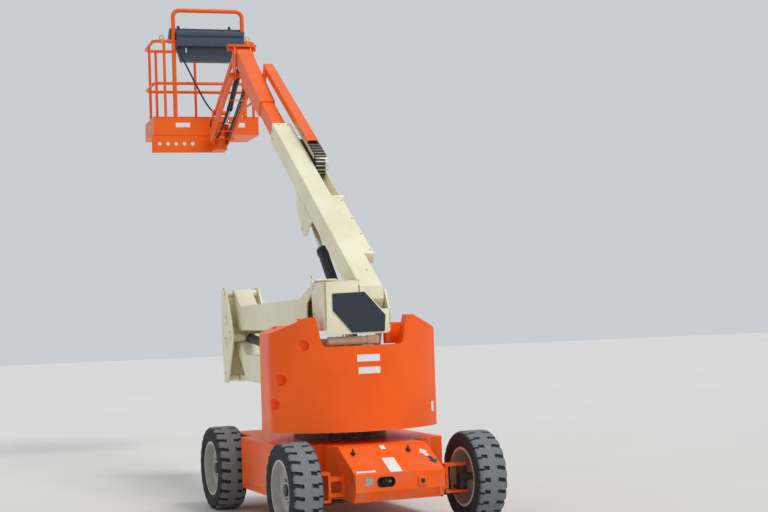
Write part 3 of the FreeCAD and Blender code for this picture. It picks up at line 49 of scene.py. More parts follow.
# Frames of the machine's parts, in metres. X runs towards the platform, Y to the left, Z up.
CENTRE_X, CENTRE_Y = -2.645, 0.157
SLEW_FORWARD = 0.036
TOWER_Y = 0.200
BOOM_Y = -0.095
SLEW = Matrix.Rotation(math.radians(-5.0), 4, "Z")
CHASSIS = placed(CENTRE_X, CENTRE_Y, 0.0)
TABLE = placed(CENTRE_X + SLEW_FORWARD, CENTRE_Y, 0.0) @ SLEW
LOWER_ARM = TABLE @ placed(-0.480, TOWER_Y, 1.440) @ elevated(-0.651)
UPPER_ARM = TABLE @ placed(3.0698, TOWER_Y, 1.915) @ elevated(-0.163)
TOWER_RAM = LOWER_ARM @ placed(1.980, 0, -0.033) @ elevated(4.25)
LIFT_RAM = TABLE @ placed(-0.4002, BOOM_Y, 1.250) @ elevated(40.33)
BOOM = TABLE @ placed(-0.660, BOOM_Y, 1.800) @ elevated(29.1)
TIP = placed(1.45730, -0.29412, 4.51268) @ SLEW
JIB = placed(1.50711, -0.29848, 4.35968) @ SLEW @ elevated(-20.5)
PLATFORM = placed(3.02133, -0.43095, 3.83437) @ SLEW

# Turns that lay a flat plate on a face: on the left or right side, and on the rear
SIDE_FACE = {1: Matrix.Rotation(math.radians(-90), 4, "X"),
             -1: Matrix.Rotation(math.radians(90), 4, "X")}
REAR_FACE = Matrix.Rotation(math.radians(-90), 4, "Y")


# Materials
# Sockets of a Mix node that blends two colours: its share, the two colours and its result
SHARE, UNDER, OVER, MIXED = 0, 6, 7, 2
DUST_TONE = "#A08C70"
RUBBED_TONE = "#8A7A66"


def linear(code):
    """A colour written as an sRGB hex value, in linear light."""
    parts = [int(code[i:i + 2], 16) / 255 for i in (1, 3, 5)]
    return [p / 12.92 if p <= 0.04045 else ((p + 0.055) / 1.055) ** 2.4 for p in parts] + [1.0]


def add(tree, kind, inputs=None, **settings):
    """A node with its settings, and its inputs given as values or as other nodes' outputs."""
    node = tree.nodes.new("ShaderNode" + kind)
    for name, setting in settings.items():
        setattr(node, name, setting)
    for name, given in (inputs or {}).items():
        if isinstance(given, bpy.types.NodeSocket):
            tree.links.new(given, node.inputs[name])
        else:
            node.inputs[name].default_value = given
    return node


def empty_material(name):
    """A material with no nodes yet, and its tree."""
    material = bpy.data.materials.new(name)
    material.use_nodes = True
    material.node_tree.nodes.clear()
    return material, material.node_tree


def patches(tree, size_mm, low, high, detail=2.0, roughness=0.5):
    """Soft-edged patches of about the given size: 0 where a noise is under low, 1 over high."""
    place = add(tree, "TexCoord").outputs["Object"]
    cloud = add(tree, "TexNoise", {"Vector": place, "Scale": 1000.0 / size_mm, "Detail": detail,
                                   "Roughness": roughness})
    return add(tree, "MapRange", {"Value": cloud.outputs["Fac"], "From Min": low,
                                  "From Max": high},
               interpolation_type="SMOOTHSTEP").outputs["Result"]


def dust(tree, colour, low, high, amount):
    """Dry site dust: thick up to the low height and gone at the high one, in soft patches."""
    place = add(tree, "TexCoord").outputs["Object"]
    height = add(tree, "SeparateXYZ", {0: place}).outputs["Z"]
    raised = add(tree, "MapRange", {"Value": height, "From Min": low, "From Max": high},
                 interpolation_type="SMOOTHSTEP")
    near_ground = add(tree, "Math", {0: 1.0, 1: raised.outputs["Result"]}, operation="SUBTRACT")
    settled = add(tree, "Math", {0: near_ground.outputs[0],
                                 1: patches(tree, 140, 0.38, 0.72, 4.0, 0.6)},
                  operation="MULTIPLY")
    share = add(tree, "Math", {0: settled.outputs[0], 1: amount}, operation="MULTIPLY")
    return add(tree, "Mix", {SHARE: share.outputs[0], UNDER: colour, OVER: linear(DUST_TONE)},
               data_type="RGBA").outputs[MIXED]


def enamel(name, base, shade, roughness=0.34, dusty=0.35, top=0.95):
    """Two-pack enamel sprayed on welded steel.

    It gives an even gloss with a faint orange peel, a slight drift of tone over each panel, a few
    rubbed spots and dust towards the ground.
    """
    material, tree = empty_material(name)
    place = add(tree, "TexCoord").outputs["Object"]
    tone = add(tree, "Mix", {SHARE: patches(tree, 520, 0.35, 0.7, 3.0, 0.55),
                             UNDER: linear(base), OVER: linear(shade)}, data_type="RGBA")
    # Rubbed spots of about 25 mm, only where a broad patch of 300 mm allows them.
    rubbed = add(tree, "Math", {0: patches(tree, 24, 0.62, 0.70, 6.0, 0.7),
                                1: patches(tree, 300, 0.52, 0.66)}, operation="MULTIPLY")
    share = add(tree, "Math", {0: rubbed.outputs[0], 1: 0.35}, operation="MULTIPLY")
    worn = add(tree, "Mix", {SHARE: share.outputs[0], UNDER: tone.outputs[MIXED],
                             OVER: linear(RUBBED_TONE)}, data_type="RGBA")
    cloud = add(tree, "TexNoise", {"Vector": place, "Scale": 1000.0 / 210, "Detail": 4.0,
                                   "Roughness": 0.6})
    gloss = add(tree, "MapRange", {"Value": cloud.outputs["Fac"], "To Min": roughness - 0.05,
                                   "To Max": roughness + 0.14})
    # Orange peel is 2 to 3 mm across on the machine; 9 mm is the finest that shows here.
    peel = add(tree, "TexNoise", {"Vector": place, "Scale": 1000.0 / 9, "Detail": 2.0})
    bump = add(tree, "Bump", {"Height": peel.outputs["Fac"], "Strength": 0.05,
                              "Distance": 0.001})
    surface = add(tree, "BsdfPrincipled", {
        "Base Color": dust(tree, worn.outputs[MIXED], 0.15, top, dusty),
        "Roughness": gloss.outputs["Result"], "Normal": bump.outputs["Normal"], "IOR": 1.5,
        "Specular IOR Level": 0.28, "Coat Weight": 0.06, "Coat Roughness": 0.2})
    add(tree, "OutputMaterial", {"Surface": surface.outputs["BSDF"]})
    return material


def tyre_rubber(name, base, dusted):
    """Vulcanised natural rubber, moulded and then run on a dry site.

    It gives a dull black carcass, and grey dust ground into the tops of the tread's blocks, where
    the tread's own attribute, trodden, is 1.
    """
    material, tree = empty_material(name)
    place = add(tree, "TexCoord").outputs["Object"]
    trodden = add(tree, "Attribute", attribute_name="trodden").outputs["Fac"]
    ground_in = add(tree, "Math", {0: trodden, 1: 0.88}, operation="MULTIPLY")
    specks = add(tree, "Math", {0: patches(tree, 26, 0.25, 0.6, 5.0, 0.7), 1: 0.12},
                 operation="MULTIPLY")
    share = add(tree, "Math", {0: ground_in.outputs[0], 1: specks.outputs[0]}, operation="ADD")
    colour = add(tree, "Mix", {SHARE: share.outputs[0], UNDER: linear(base),
                               OVER: linear(dusted)}, data_type="RGBA")
    grain = add(tree, "TexNoise", {"Vector": place, "Scale": 1000.0 / 12, "Detail": 4.0,
                                   "Roughness": 0.7})
    bump = add(tree, "Bump", {"Height": grain.outputs["Fac"], "Strength": 0.25,
                              "Distance": 0.002})
    surface = add(tree, "BsdfPrincipled", {
        "Base Color": colour.outputs[MIXED], "Roughness": 0.82, "IOR": 1.5,
        "Specular IOR Level": 0.3, "Normal": bump.outputs["Normal"]})
    add(tree, "OutputMaterial", {"Surface": surface.outputs["BSDF"]})
    return material


def moulded(name, base, worn, roughness):
    """Injection-moulded ABS or rubber with a fine spark-eroded grain.

    It gives a soft, even sheen that breaks up at a touch of scuffing.
    """
    material, tree = empty_material(name)
    place = add(tree, "TexCoord").outputs["Object"]
    scuff = add(tree, "Math", {0: patches(tree, 60, 0.5, 0.75, 6.0, 0.7), 1: 0.4},
                operation="MULTIPLY")
    colour = add(tree, "Mix", {SHARE: scuff.outputs[0], UNDER: linear(base),
                               OVER: linear(worn)}, data_type="RGBA")
    cloud = add(tree, "TexNoise", {"Vector": place, "Scale": 1000.0 / 90, "Detail": 4.0})
    gloss = add(tree, "MapRange", {"Value": cloud.outputs["Fac"], "To Min": roughness - 0.06,
                                   "To Max": roughness + 0.1})
    # The mould's grain is under 1 mm; 5 mm is the finest that shows here.
    grain = add(tree, "TexNoise", {"Vector": place, "Scale": 1000.0 / 5, "Detail": 2.0})
    bump = add(tree, "Bump", {"Height": grain.outputs["Fac"], "Strength": 0.08,
                              "Distance": 0.001})
    surface = add(tree, "BsdfPrincipled", {
        "Base Color": colour.outputs[MIXED], "Roughness": gloss.outputs["Result"], "IOR": 1.5,
        "Normal": bump.outputs["Normal"]})
    add(tree, "OutputMaterial", {"Surface": surface.outputs["BSDF"]})
    return material


def metal(name, base, dull, roughness, size_mm=40):
    """Bare metal: ground, plated or as forged.

    It gives a reflection that is cloudy in places where oil and dust lie on it.
    """
    material, tree = empty_material(name)
    film = patches(tree, size_mm, 0.4, 0.75, 5.0, 0.65)
    share = add(tree, "Math", {0: film, 1: 0.5}, operation="MULTIPLY")
    colour = add(tree, "Mix", {SHARE: share.outputs[0], UNDER: linear(base),
                               OVER: linear(dull)}, data_type="RGBA")
    gloss = add(tree, "MapRange", {"Value": film, "To Min": roughness,
                                   "To Max": roughness + 0.2})
    surface = add(tree, "BsdfPrincipled", {
        "Base Color": colour.outputs[MIXED], "Roughness": gloss.outputs["Result"],
        "Metallic": 1.0})
    add(tree, "OutputMaterial", {"Surface": surface.outputs["BSDF"]})
    return material


ORANGE = enamel("orange_sprayed_enamel", "#FF640A", "#F85C06")
# Painted light: a second copy of the same orange enamel, a little less saturated, gives the upper
# parts the look they have in the sun up there.
ORANGE_UPPER_LIT = enamel("orange_sprayed_enamel_upper_lit", "#F8691C", "#F06014", dusty=0.0)
CREAM = enamel("cream_sprayed_enamel", "#F2EBCC", "#E9E0BE", roughness=0.38, dusty=0.0)
RIM_GREY = enamel("light_grey_stoved_enamel", "#C4C3BE", "#AFAEA8", roughness=0.42, dusty=0.55,
                  top=0.8)
DARK_PAINT = enamel("black_brushed_enamel", "#2B2D30", "#232426", roughness=0.45, dusty=0.4)
TYRE = tyre_rubber("moulded_tyre_rubber", "#222327", "#797D7F")
NAVY = moulded("navy_moulded_abs", "#262E3B", "#39424F", 0.5)
SLATE = moulded("slate_moulded_polyethylene", "#3C4A58", "#56646F", 0.48)
BLACK = moulded("black_moulded_rubber", "#1B1C1E", "#3A3A38", 0.55)
CHROME = metal("hard_chromed_steel", "#D6D9DC", "#9AA0A6", 0.08)
STEEL = metal("oiled_cast_steel", "#5A5750", "#35322D", 0.45, size_mm=25)
ZINC = metal("zinc_plated_steel", "#B9BBB6", "#8C8C84", 0.32, size_mm=12)
WHITE = moulded("white_vinyl_film", "#E9EAE8", "#C9C6BC", 0.4)
AMBER = moulded("amber_moulded_acrylic", "#C98A1E", "#8F6A28", 0.3)
RED = moulded("red_moulded_nylon", "#B3231C", "#7E2A22", 0.42)
YELLOW = enamel("yellow_sprayed_enamel", "#E0A41C", "#CE9418", dusty=0.0)
TRACK_METAL = metal("galvanised_strip_steel", "#C9C2A6", "#8E8872", 0.42, size_mm=30)

NODE_MATERIAL = [
    (ORANGE, "charger_hood chassis_frame drive_end_cover counterweight side_cover_left "
             "side_cover_right turntable_frame steer_axle"),
    (ORANGE_UPPER_LIT, "fly_boom hose_rail level_bracket jib_arm jib_link jib_head platform_mount "
                  "platform_floor platform_rails platform_gate"),
    (CREAM, "base_boom lower_arm upper_arm tower_knuckle upright lower_link upper_link"),
    (RIM_GREY, "rim_front_left rim_front_right rim_rear_left rim_rear_right"),
    (DARK_PAINT, "drive_hubs knuckle_left knuckle_right tie_rod lift_cylinder_barrel "
                 "tower_cylinder_barrel jib_cylinder_barrel"),
    (NAVY, "upright_cover"),
    (SLATE, "control_console"),
    (BLACK, "charging_inlet power_track"),
    (CHROME, "lift_cylinder_rod tower_cylinder_rod jib_cylinder_rod"),
    (STEEL, "slew_ring"),
    (TYRE, "tyre_front_left tyre_front_right tyre_rear_left tyre_rear_right"),
]
for material, names in NODE_MATERIAL:
    for name in names.split():
        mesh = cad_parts[name].data
        mesh.materials.clear()
        mesh.materials.append(material)


# Camera, floor and light
def photo_camera():
    """The camera that took the photograph, as fitted to the wheels and the counterweight."""
    yaw, pitch, roll = (math.radians(angle) for angle in (-21.6153, 2.0147, -1.9057))
    focal_pixels, photo_pixels, sensor_mm = 1502.28, 768.0, 36.0
    forward = Vector((math.cos(yaw) * math.cos(pitch), math.sin(yaw) * math.cos(pitch),
                      math.sin(pitch)))
    level = Vector((math.sin(yaw), -math.cos(yaw), 0))
    up = level.cross(forward)
    right = level * math.cos(roll) + up * math.sin(roll)
    top = up * math.cos(roll) - level * math.sin(roll)
    data = bpy.data.cameras.new("photo_camera")
    data.lens = sensor_mm * focal_pixels / photo_pixels
    data.clip_end = 200.0
    camera = bpy.data.objects.new("photo_camera", data)
    camera.matrix_world = Matrix((right, top, -forward)).transposed().to_4x4()
    camera.location = (-14.5715, 4.4453, 1.7098)
    bpy.context.scene.collection.objects.link(camera)
    bpy.context.scene.camera = camera


def studio():
    """A matt pale floor under a pale sky, with one soft sun."""
    bpy.ops.mesh.primitive_plane_add(size=90.0)
    floor = bpy.context.object
    floor.name = "floor"
    material, tree = empty_material("matt_pale_floor")
    place = add(tree, "TexCoord").outputs["Object"]
    cloud = add(tree, "TexNoise", {"Vector": place, "Scale": 1000.0 / 2500, "Detail": 2.0})
    colour = add(tree, "Mix", {SHARE: cloud.outputs["Fac"], UNDER: linear("#D8D6D1"),
                               OVER: linear("#DEDCD8")}, data_type="RGBA")
    surface = add(tree, "BsdfPrincipled", {"Base Color": colour.outputs[MIXED],
                                           "Roughness": 0.9, "Specular IOR Level": 0.1})
    add(tree, "OutputMaterial", {"Surface": surface.outputs["BSDF"]})
    floor.data.materials.append(material)
    world = bpy.data.worlds.new("pale_sky")
    world.use_nodes = True
    background = world.node_tree.nodes["Background"]
    background.inputs["Color"].default_value = linear("#E9EEF4")
    background.inputs["Strength"].default_value = 0.72
    bpy.context.scene.world = world
    sun = bpy.data.lights.new("soft_sun", "SUN")
    sun.energy = 1.5
    sun.angle = math.radians(22)
    lamp = bpy.data.objects.new("soft_sun", sun)
    lamp.rotation_euler = Vector((0.55, 0.35, -0.9)).to_track_quat("-Z", "Y").to_euler()
    bpy.context.scene.collection.objects.link(lamp)
    bpy.context.scene.view_settings.view_transform = "Standard"


photo_camera()
studio()


# Modelling
def clear_selection():
    for each in bpy.context.selected_objects:
        each.select_set(False)


def take(piece):
    """Makes one object the selected and active one."""
    clear_selection()
    piece.select_set(True)
    bpy.context.view_layer.objects.active = piece


def block(low, high, bevel=0.0, segments=2):
    """A rectangular bar or plate between two corners, with rounded edges."""
    clear_selection()
    middle = [(a + b) / 2 for a, b in zip(low, high)]
    bpy.ops.mesh.primitive_cube_add(size=1.0, location=middle)
    piece = bpy.context.object
    piece.scale = [b - a for a, b in zip(low, high)]
    bpy.ops.object.transform_apply(location=True, rotation=True, scale=True)
    if bevel:
        round_edges(piece, bevel, segments)
    return piece


def round_edges(piece, width, segments=2, angle=30):
    take(piece)
    modifier = piece.modifiers.new("rounding", "BEVEL")
    modifier.width = width
    modifier.segments = segments
    modifier.limit_method = "ANGLE"
    modifier.angle_limit = math.radians(angle)
    bpy.ops.object.modifier_apply(modifier="rounding")


def bar(start, end, radius, sides=16, bevel=0.0):
    """A round bar from one point to another."""
    clear_selection()
    start, end = Vector(start), Vector(end)
    run = end - start
    bpy.ops.mesh.primitive_cylinder_add(
        vertices=sides, radius=radius, depth=run.length, location=(start + end) / 2,
        rotation=run.to_track_quat("Z", "Y").to_euler())
    piece = bpy.context.object
    bpy.ops.object.transform_apply(location=True, rotation=True, scale=True)
    if bevel:
        round_edges(piece, bevel)
    return piece


def cut_plate(outline, normal, low, high, bevel=0.002):
    """A flat plate cut to an outline, between two levels along X or Y."""
    clear_selection()
    bpy.ops.mesh.primitive_circle_add(vertices=len(outline), fill_type="NGON")
    piece = bpy.context.object
    for vertex, (first, second) in zip(piece.data.vertices, outline):
        vertex.co = (low, first, second) if normal == "X" else (first, low, second)
    step = (high - low, 0, 0) if normal == "X" else (0, high - low, 0)
    edit(piece)
    bpy.ops.mesh.select_all(action="SELECT")
    bpy.ops.mesh.extrude_region_move(TRANSFORM_OT_translate={"value": step})
    bpy.ops.mesh.select_all(action="SELECT")
    bpy.ops.mesh.normals_make_consistent(inside=False)
    done()
    round_edges(piece, bevel, 2, 60)
    return piece


def edit(piece, kind="FACE"):
    """Opens a piece for editing with nothing selected."""
    take(piece)
    bpy.ops.object.mode_set(mode="EDIT")
    bpy.ops.mesh.select_mode(type=kind)
    bpy.ops.mesh.select_all(action="DESELECT")


def done():
    bpy.ops.object.mode_set(mode="OBJECT")


def pick(piece, test, kind="FACE"):
    """Selects, in edit mode, the faces, edges or vertices that pass the test."""
    if bpy.context.object is None or bpy.context.object.mode == "OBJECT":
        take(piece)
    else:
        bpy.ops.object.mode_set(mode="OBJECT")
    mesh = piece.data
    kinds = {"FACE": mesh.polygons, "EDGE": mesh.edges, "VERT": mesh.vertices}
    for group in kinds.values():
        group.foreach_set("select", [False] * len(group))
    for item in kinds[kind]:
        item.select = bool(test(item))
    bpy.ops.object.mode_set(mode="EDIT")
    bpy.ops.mesh.select_mode(type=kind)


def faces_towards(direction, tight=0.95):
    """A test for faces that look in the given direction."""
    direction = Vector(direction).normalized()
    return lambda face: face.normal.dot(direction) > tight


def joined(pieces):
    clear_selection()
    for piece in pieces:
        piece.select_set(True)
    bpy.context.view_layer.objects.active = pieces[0]
    bpy.ops.object.join()
    return bpy.context.object


def copied(piece, matrix):
    """A second piece with its own mesh, moved by the matrix."""
    twin = piece.copy()
    twin.data = piece.data.copy()
    twin.data.transform(matrix)
    bpy.context.scene.collection.objects.link(twin)
    return twin


def finish(piece, name, body, material, place=None, smooth=35, stands_for=()):
    """Sets a finished piece in its place on the machine, with its material."""
    piece.name = name
    if place is not None:
        piece.data.transform(place)
    piece.data.materials.clear()
    piece.data.materials.append(material)
    if smooth:
        take(piece)
        bpy.ops.object.shade_smooth_by_angle(angle=math.radians(smooth))
    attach(piece, body)
    if stands_for:
        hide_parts(*stands_for)
    return piece


def circle_of(count, radius, height):
    """Evenly spaced spots round a circle about the Z axis."""
    turns = [2 * math.pi * number / count for number in range(count)]
    return [(radius * math.cos(turn), radius * math.sin(turn), height) for turn in turns]


def hex_bolt(spot, direction, radius, height):
    """A bolt head with its washer, standing on a surface."""
    spot, direction = Vector(spot), Vector(direction).normalized()
    washer = bar(spot, spot + direction * height * 0.25, radius * 1.35, 14)
    head = bar(spot + direction * height * 0.2, spot + direction * height, radius, 6,
               radius * 0.12)
    return joined([washer, head])


def bolts(spots, direction, radius, height, name, body, place, material=None):
    """A set of bolts, joined as one piece."""
    return finish(joined([hex_bolt(spot, direction, radius, height) for spot in spots]), name,
                  body, material or ZINC, place)


def hose(points, radius, name, body, place, material=None, sides=8):
    """A hydraulic hose, capped at both ends, along a smooth curve."""
    clear_selection()
    curve = bpy.data.curves.new(name, "CURVE")
    curve.dimensions = "3D"
    curve.resolution_u = 6
    curve.bevel_depth = radius
    curve.bevel_resolution = sides // 4
    curve.use_fill_caps = True
    line = curve.splines.new("NURBS")
    line.points.add(len(points) - 1)
    for target, point in zip(line.points, points):
        target.co = (*point, 1.0)
    line.order_u = 3
    line.use_endpoint_u = True
    piece = bpy.data.objects.new(name, curve)
    bpy.context.scene.collection.objects.link(piece)
    take(piece)
    bpy.ops.object.convert(target="MESH")
    return finish(bpy.context.object, name, body, material or BLACK, place, 60)


# Wheels
TYRE_RADIUS = 0.360
TYRE_HALF = 0.120
LUG_HEIGHT = 0.014
PITCHES = 24
HALF_WHEELBASE, HALF_TRACK = 1.000, 0.755
WHEELS = [(f"{end}_{hand}", CENTRE_X + along * HALF_WHEELBASE, CENTRE_Y + side * HALF_TRACK, side)
          for end, along in (("front", 1), ("rear", -1))
          for hand, side in (("left", 1), ("right", -1))]


def tread():
    """The tread of one tyre, as a strip of one pitch, repeated to go once round the wheel."""
    pitch = 2 * math.pi * (TYRE_RADIUS - LUG_HEIGHT) / PITCHES
    clear_selection()
    bpy.ops.mesh.primitive_plane_add(size=1.0)
    strip = bpy.context.object
    strip.scale = (pitch, 2 * TYRE_HALF, 1)
    bpy.ops.object.transform_apply(location=True, rotation=True, scale=True)
    rows = [0.032, 0.051, 0.078, 0.104]
    columns = [-0.030, -0.018, 0.0, 0.018, 0.030]
    edit(strip)
    for side in (1, -1):
        for row in rows:
            bpy.ops.mesh.select_all(action="SELECT")
            bpy.ops.mesh.bisect(plane_co=(0, side * row, 0), plane_no=(0, 1, 0))
    for column in columns:
        bpy.ops.mesh.select_all(action="SELECT")
        bpy.ops.mesh.bisect(plane_co=(column, 0, 0), plane_no=(1, 0, 0))
    # The rows are slid so that the grooves run in zig-zags and the gaps slant
    zigzag = {-0.030: 0.006, -0.018: -0.007, 0.0: -0.007, 0.018: 0.006, 0.030: 0.006}
    for column in columns:
        pick(strip, lambda v: abs(v.co.x - column) < 1e-4 and 0.030 < abs(v.co.y) < 0.055, "VERT")
        bpy.ops.transform.translate(value=(0, zigzag[column], 0))
    for side in (1, -1):
        for row, slide in ((0.078, 0.006), (0.104, 0.010), (TYRE_HALF, 0.012)):
            pick(strip, lambda v: abs(v.co.y - side * row) < 1e-4 and abs(v.co.x) < pitch / 2.1,
                 "VERT")
            bpy.ops.transform.translate(value=(side * slide, 0, 0))
    # The shoulder falls away from the crown
    for row, fall in ((0.104, -0.003), (TYRE_HALF, -0.016)):
        pick(strip, lambda v: abs(abs(v.co.y) - row) < 1e-4, "VERT")
        bpy.ops.transform.translate(value=(0, 0, fall))

    def on_lug(face):
        along, across = face.center.x, abs(face.center.y)
        return across < 0.037 or (across > 0.052 and -0.031 < along < 0.034)

    pick(strip, on_lug)
    bpy.ops.mesh.extrude_region_move(TRANSFORM_OT_translate={"value": (0, 0, LUG_HEIGHT)})
    bpy.ops.transform.resize(value=(1.0, 0.985, 1.0))
    done()
    repeat = strip.modifiers.new("repeat", "ARRAY")
    repeat.count = PITCHES
    repeat.relative_offset_displace = (1, 0, 0)
    repeat.use_merge_vertices = True
    repeat.merge_threshold = 0.0005
    take(strip)
    bpy.ops.object.modifier_apply(modifier="repeat")
    length = pitch * PITCHES
    strip.data.transform(placed(pitch / 2 - length / 2, 0, 0))
    return strip, length


def wrap(strip, length):
    """Bends the strip into a ring about the wheel's axle, which runs along Y."""
    radius = length / (2 * math.pi)
    for vertex in strip.data.vertices:
        angle = vertex.co.x / radius
        reach = radius + vertex.co.z
        vertex.co = (reach * math.sin(angle), vertex.co.y, reach * math.cos(angle))
    edit(strip, "VERT")
    bpy.ops.mesh.select_all(action="SELECT")
    bpy.ops.mesh.remove_doubles(threshold=0.0006)
    bpy.ops.mesh.normals_make_consistent(inside=False)
    done()
    return strip


def carcass():
    """The tyre's sidewalls: a drum whose ends are inset ring by ring down to the bead."""
    clear_selection()
    bpy.ops.mesh.primitive_cylinder_add(vertices=96, radius=TYRE_RADIUS - LUG_HEIGHT - 0.016,
                                        depth=2 * TYRE_HALF, end_fill_type="NGON",
                                        rotation=(math.radians(90), 0, 0))
    body = bpy.context.object
    bpy.ops.object.transform_apply(location=True, rotation=True, scale=True)
    for side in (1, -1):
        pick(body, faces_towards((0, side, 0)))
        for thickness, depth in ((0.020, 0.004), (0.020, 0.002), (0.004, 0.003), (0.004, -0.003),
                                 (0.024, -0.003), (0.018, -0.010), (0.016, -0.012)):
            bpy.ops.mesh.inset(thickness=thickness, depth=depth, use_even_offset=False)
        bpy.ops.mesh.delete(type="FACE")
        done()
    edit(body)
    bpy.ops.mesh.select_all(action="SELECT")
    bpy.ops.mesh.normals_make_consistent(inside=False)
    done()
    return body


def wheels():
    """One tyre is modelled, marked where it is trodden, and copied to the four wheels."""
    strip, length = tread()
    first = joined([carcass(), wrap(strip, length)])
    trodden = first.data.attributes.new("trodden", "FLOAT", "POINT")
    for mark, vertex in zip(trodden.data, first.data.vertices):
        reach = math.hypot(vertex.co.x, vertex.co.z)
        mark.value = min(max((reach - TYRE_RADIUS + 0.011) / 0.007, 0.0), 1.0)
    for number, (name, x, y, side) in enumerate(WHEELS):
        turn = Matrix.Rotation(math.radians(5.0 * number), 4, "Y")
        flip = Matrix.Rotation(math.pi, 4, "Z") if side < 0 else Matrix()
        finish(copied(first, placed(x, y, TYRE_RADIUS) @ flip @ turn), "tread_" + name,
               "wheel_" + name, TYRE, stands_for=("tyre_" + name,))
    bpy.data.objects.remove(first)


def wheel_fittings():
    """Nuts, hub cap and valve of each wheel."""
    for name, x, y, side in WHEELS:
        place = placed(x, y, TYRE_RADIUS) @ (Matrix.Rotation(math.pi, 4, "Z") if side < 0
                                             else Matrix())
        nuts = [(along, 0.032, up) for along, up, _ in circle_of(9, 0.102, 0.0)]
        bolts(nuts, (0, 1, 0), 0.0125, 0.022, "nuts_" + name, "wheel_" + name, place)
        cap = bar((0, 0.058, 0), (0, 0.076, 0), 0.046, 32, 0.006)
        finish(cap, "hub_cap_" + name, "wheel_" + name, DARK_PAINT, place)
        valve = bar((0.0, 0.020, 0.185), (0.0, 0.062, 0.192), 0.0055, 10, 0.001)
        finish(valve, "valve_" + name, "wheel_" + name, BLACK, place)


wheels()
wheel_fittings()


# Hood, chassis and counterweight
DECK = 0.650
HULL_SIDE = 0.600
TAIL_RADIUS = 0.866
SLOPE_TOP, SLOPE_ANGLE = -0.930, 26.565
SLOPE = CHASSIS @ placed(SLOPE_TOP, 0, DECK) @ elevated(SLOPE_ANGLE)


def down_slope(x):
    """Where a distance forward of the chassis' middle lies on the hood's slope."""
    return (x - SLOPE_TOP) / math.cos(math.radians(SLOPE_ANGLE))


def label(low, high, name, body, place, material=None, thick=0.0008):
    """A blank adhesive plate on the surface at height 0, with rounded corners."""
    plate = block((*low, 0.0), (*high, thick))
    round_edges(plate, min(0.006, (high[0] - low[0]) / 4), 3)
    return finish(plate, name, body, material or WHITE, place)


def arrow(tail, tip, half, name, material):
    """A flat arrow on the hood: a strip whose front end is drawn out into a head."""
    length = (Vector(tip) - Vector(tail)).length
    turn = math.atan2(tip[1] - tail[1], tip[0] - tail[0])
    shaft = block((0, -half * 0.45, 0), (length * 0.48, half * 0.45, 0.0008))
    pick(shaft, faces_towards((1, 0, 0)))
    bpy.ops.mesh.extrude_region_move(TRANSFORM_OT_translate={"value": (0.0005, 0, 0)})
    bpy.ops.transform.resize(value=(1, 2.4, 1))
    bpy.ops.mesh.extrude_region_move(TRANSFORM_OT_translate={"value": (length * 0.52, 0, 0)})
    bpy.ops.transform.resize(value=(1, 0.02, 1))
    done()
    finish(shaft, name, "chassis", material,
           SLOPE @ placed(tail[0], tail[1], 0) @ Matrix.Rotation(turn, 4, "Z"), smooth=0)


def hood_details():
    """Latches, blank labels, arrows and the folded lip of the hood's slope."""
    for number, (x, y) in enumerate(((-1.026, 0.280), (-1.025, -0.179)), 1):
        seat = bar((0, 0, 0), (0, 0, 0.003), 0.022, 24, 0.001)
        stem = bar((0, 0, 0.002), (0, 0, 0.016), 0.008, 14)
        grip = block((-0.040, -0.008, 0.012), (0.040, 0.008, 0.024), 0.005, 3)
        finish(joined([seat, stem, grip]), f"hood_latch_{number}", "chassis", BLACK,
               SLOPE @ placed(down_slope(x), y, 0)
               @ Matrix.Rotation(math.radians(-14), 4, "Z"))
    low, high = down_slope(-1.284), down_slope(-1.103)
    label((low, -0.023), (high, 0.077), "hood_label_large", "chassis", SLOPE)
    label((down_slope(-0.990), -0.008), (down_slope(-0.938), 0.032), "hood_label_small",
          "chassis", SLOPE)
    label((down_slope(-1.273), 0.190), (down_slope(-1.253), 0.344), "hood_label_strip",
          "chassis", SLOPE)
    arrow((down_slope(-1.112), -0.305), (down_slope(-1.018), -0.281), 0.036,
          "hood_arrow_rear", WHITE)
    arrow((down_slope(-1.122), -0.312), (down_slope(-1.218), -0.334), 0.036,
          "hood_arrow_front", NAVY)
    # Folded lip along the hood's upper edge
    lip = block((-0.012, -0.367, 0.0), (0.0, 0.367, 0.004), 0.0015)
    finish(lip, "hood_lip", "chassis", ORANGE, SLOPE)


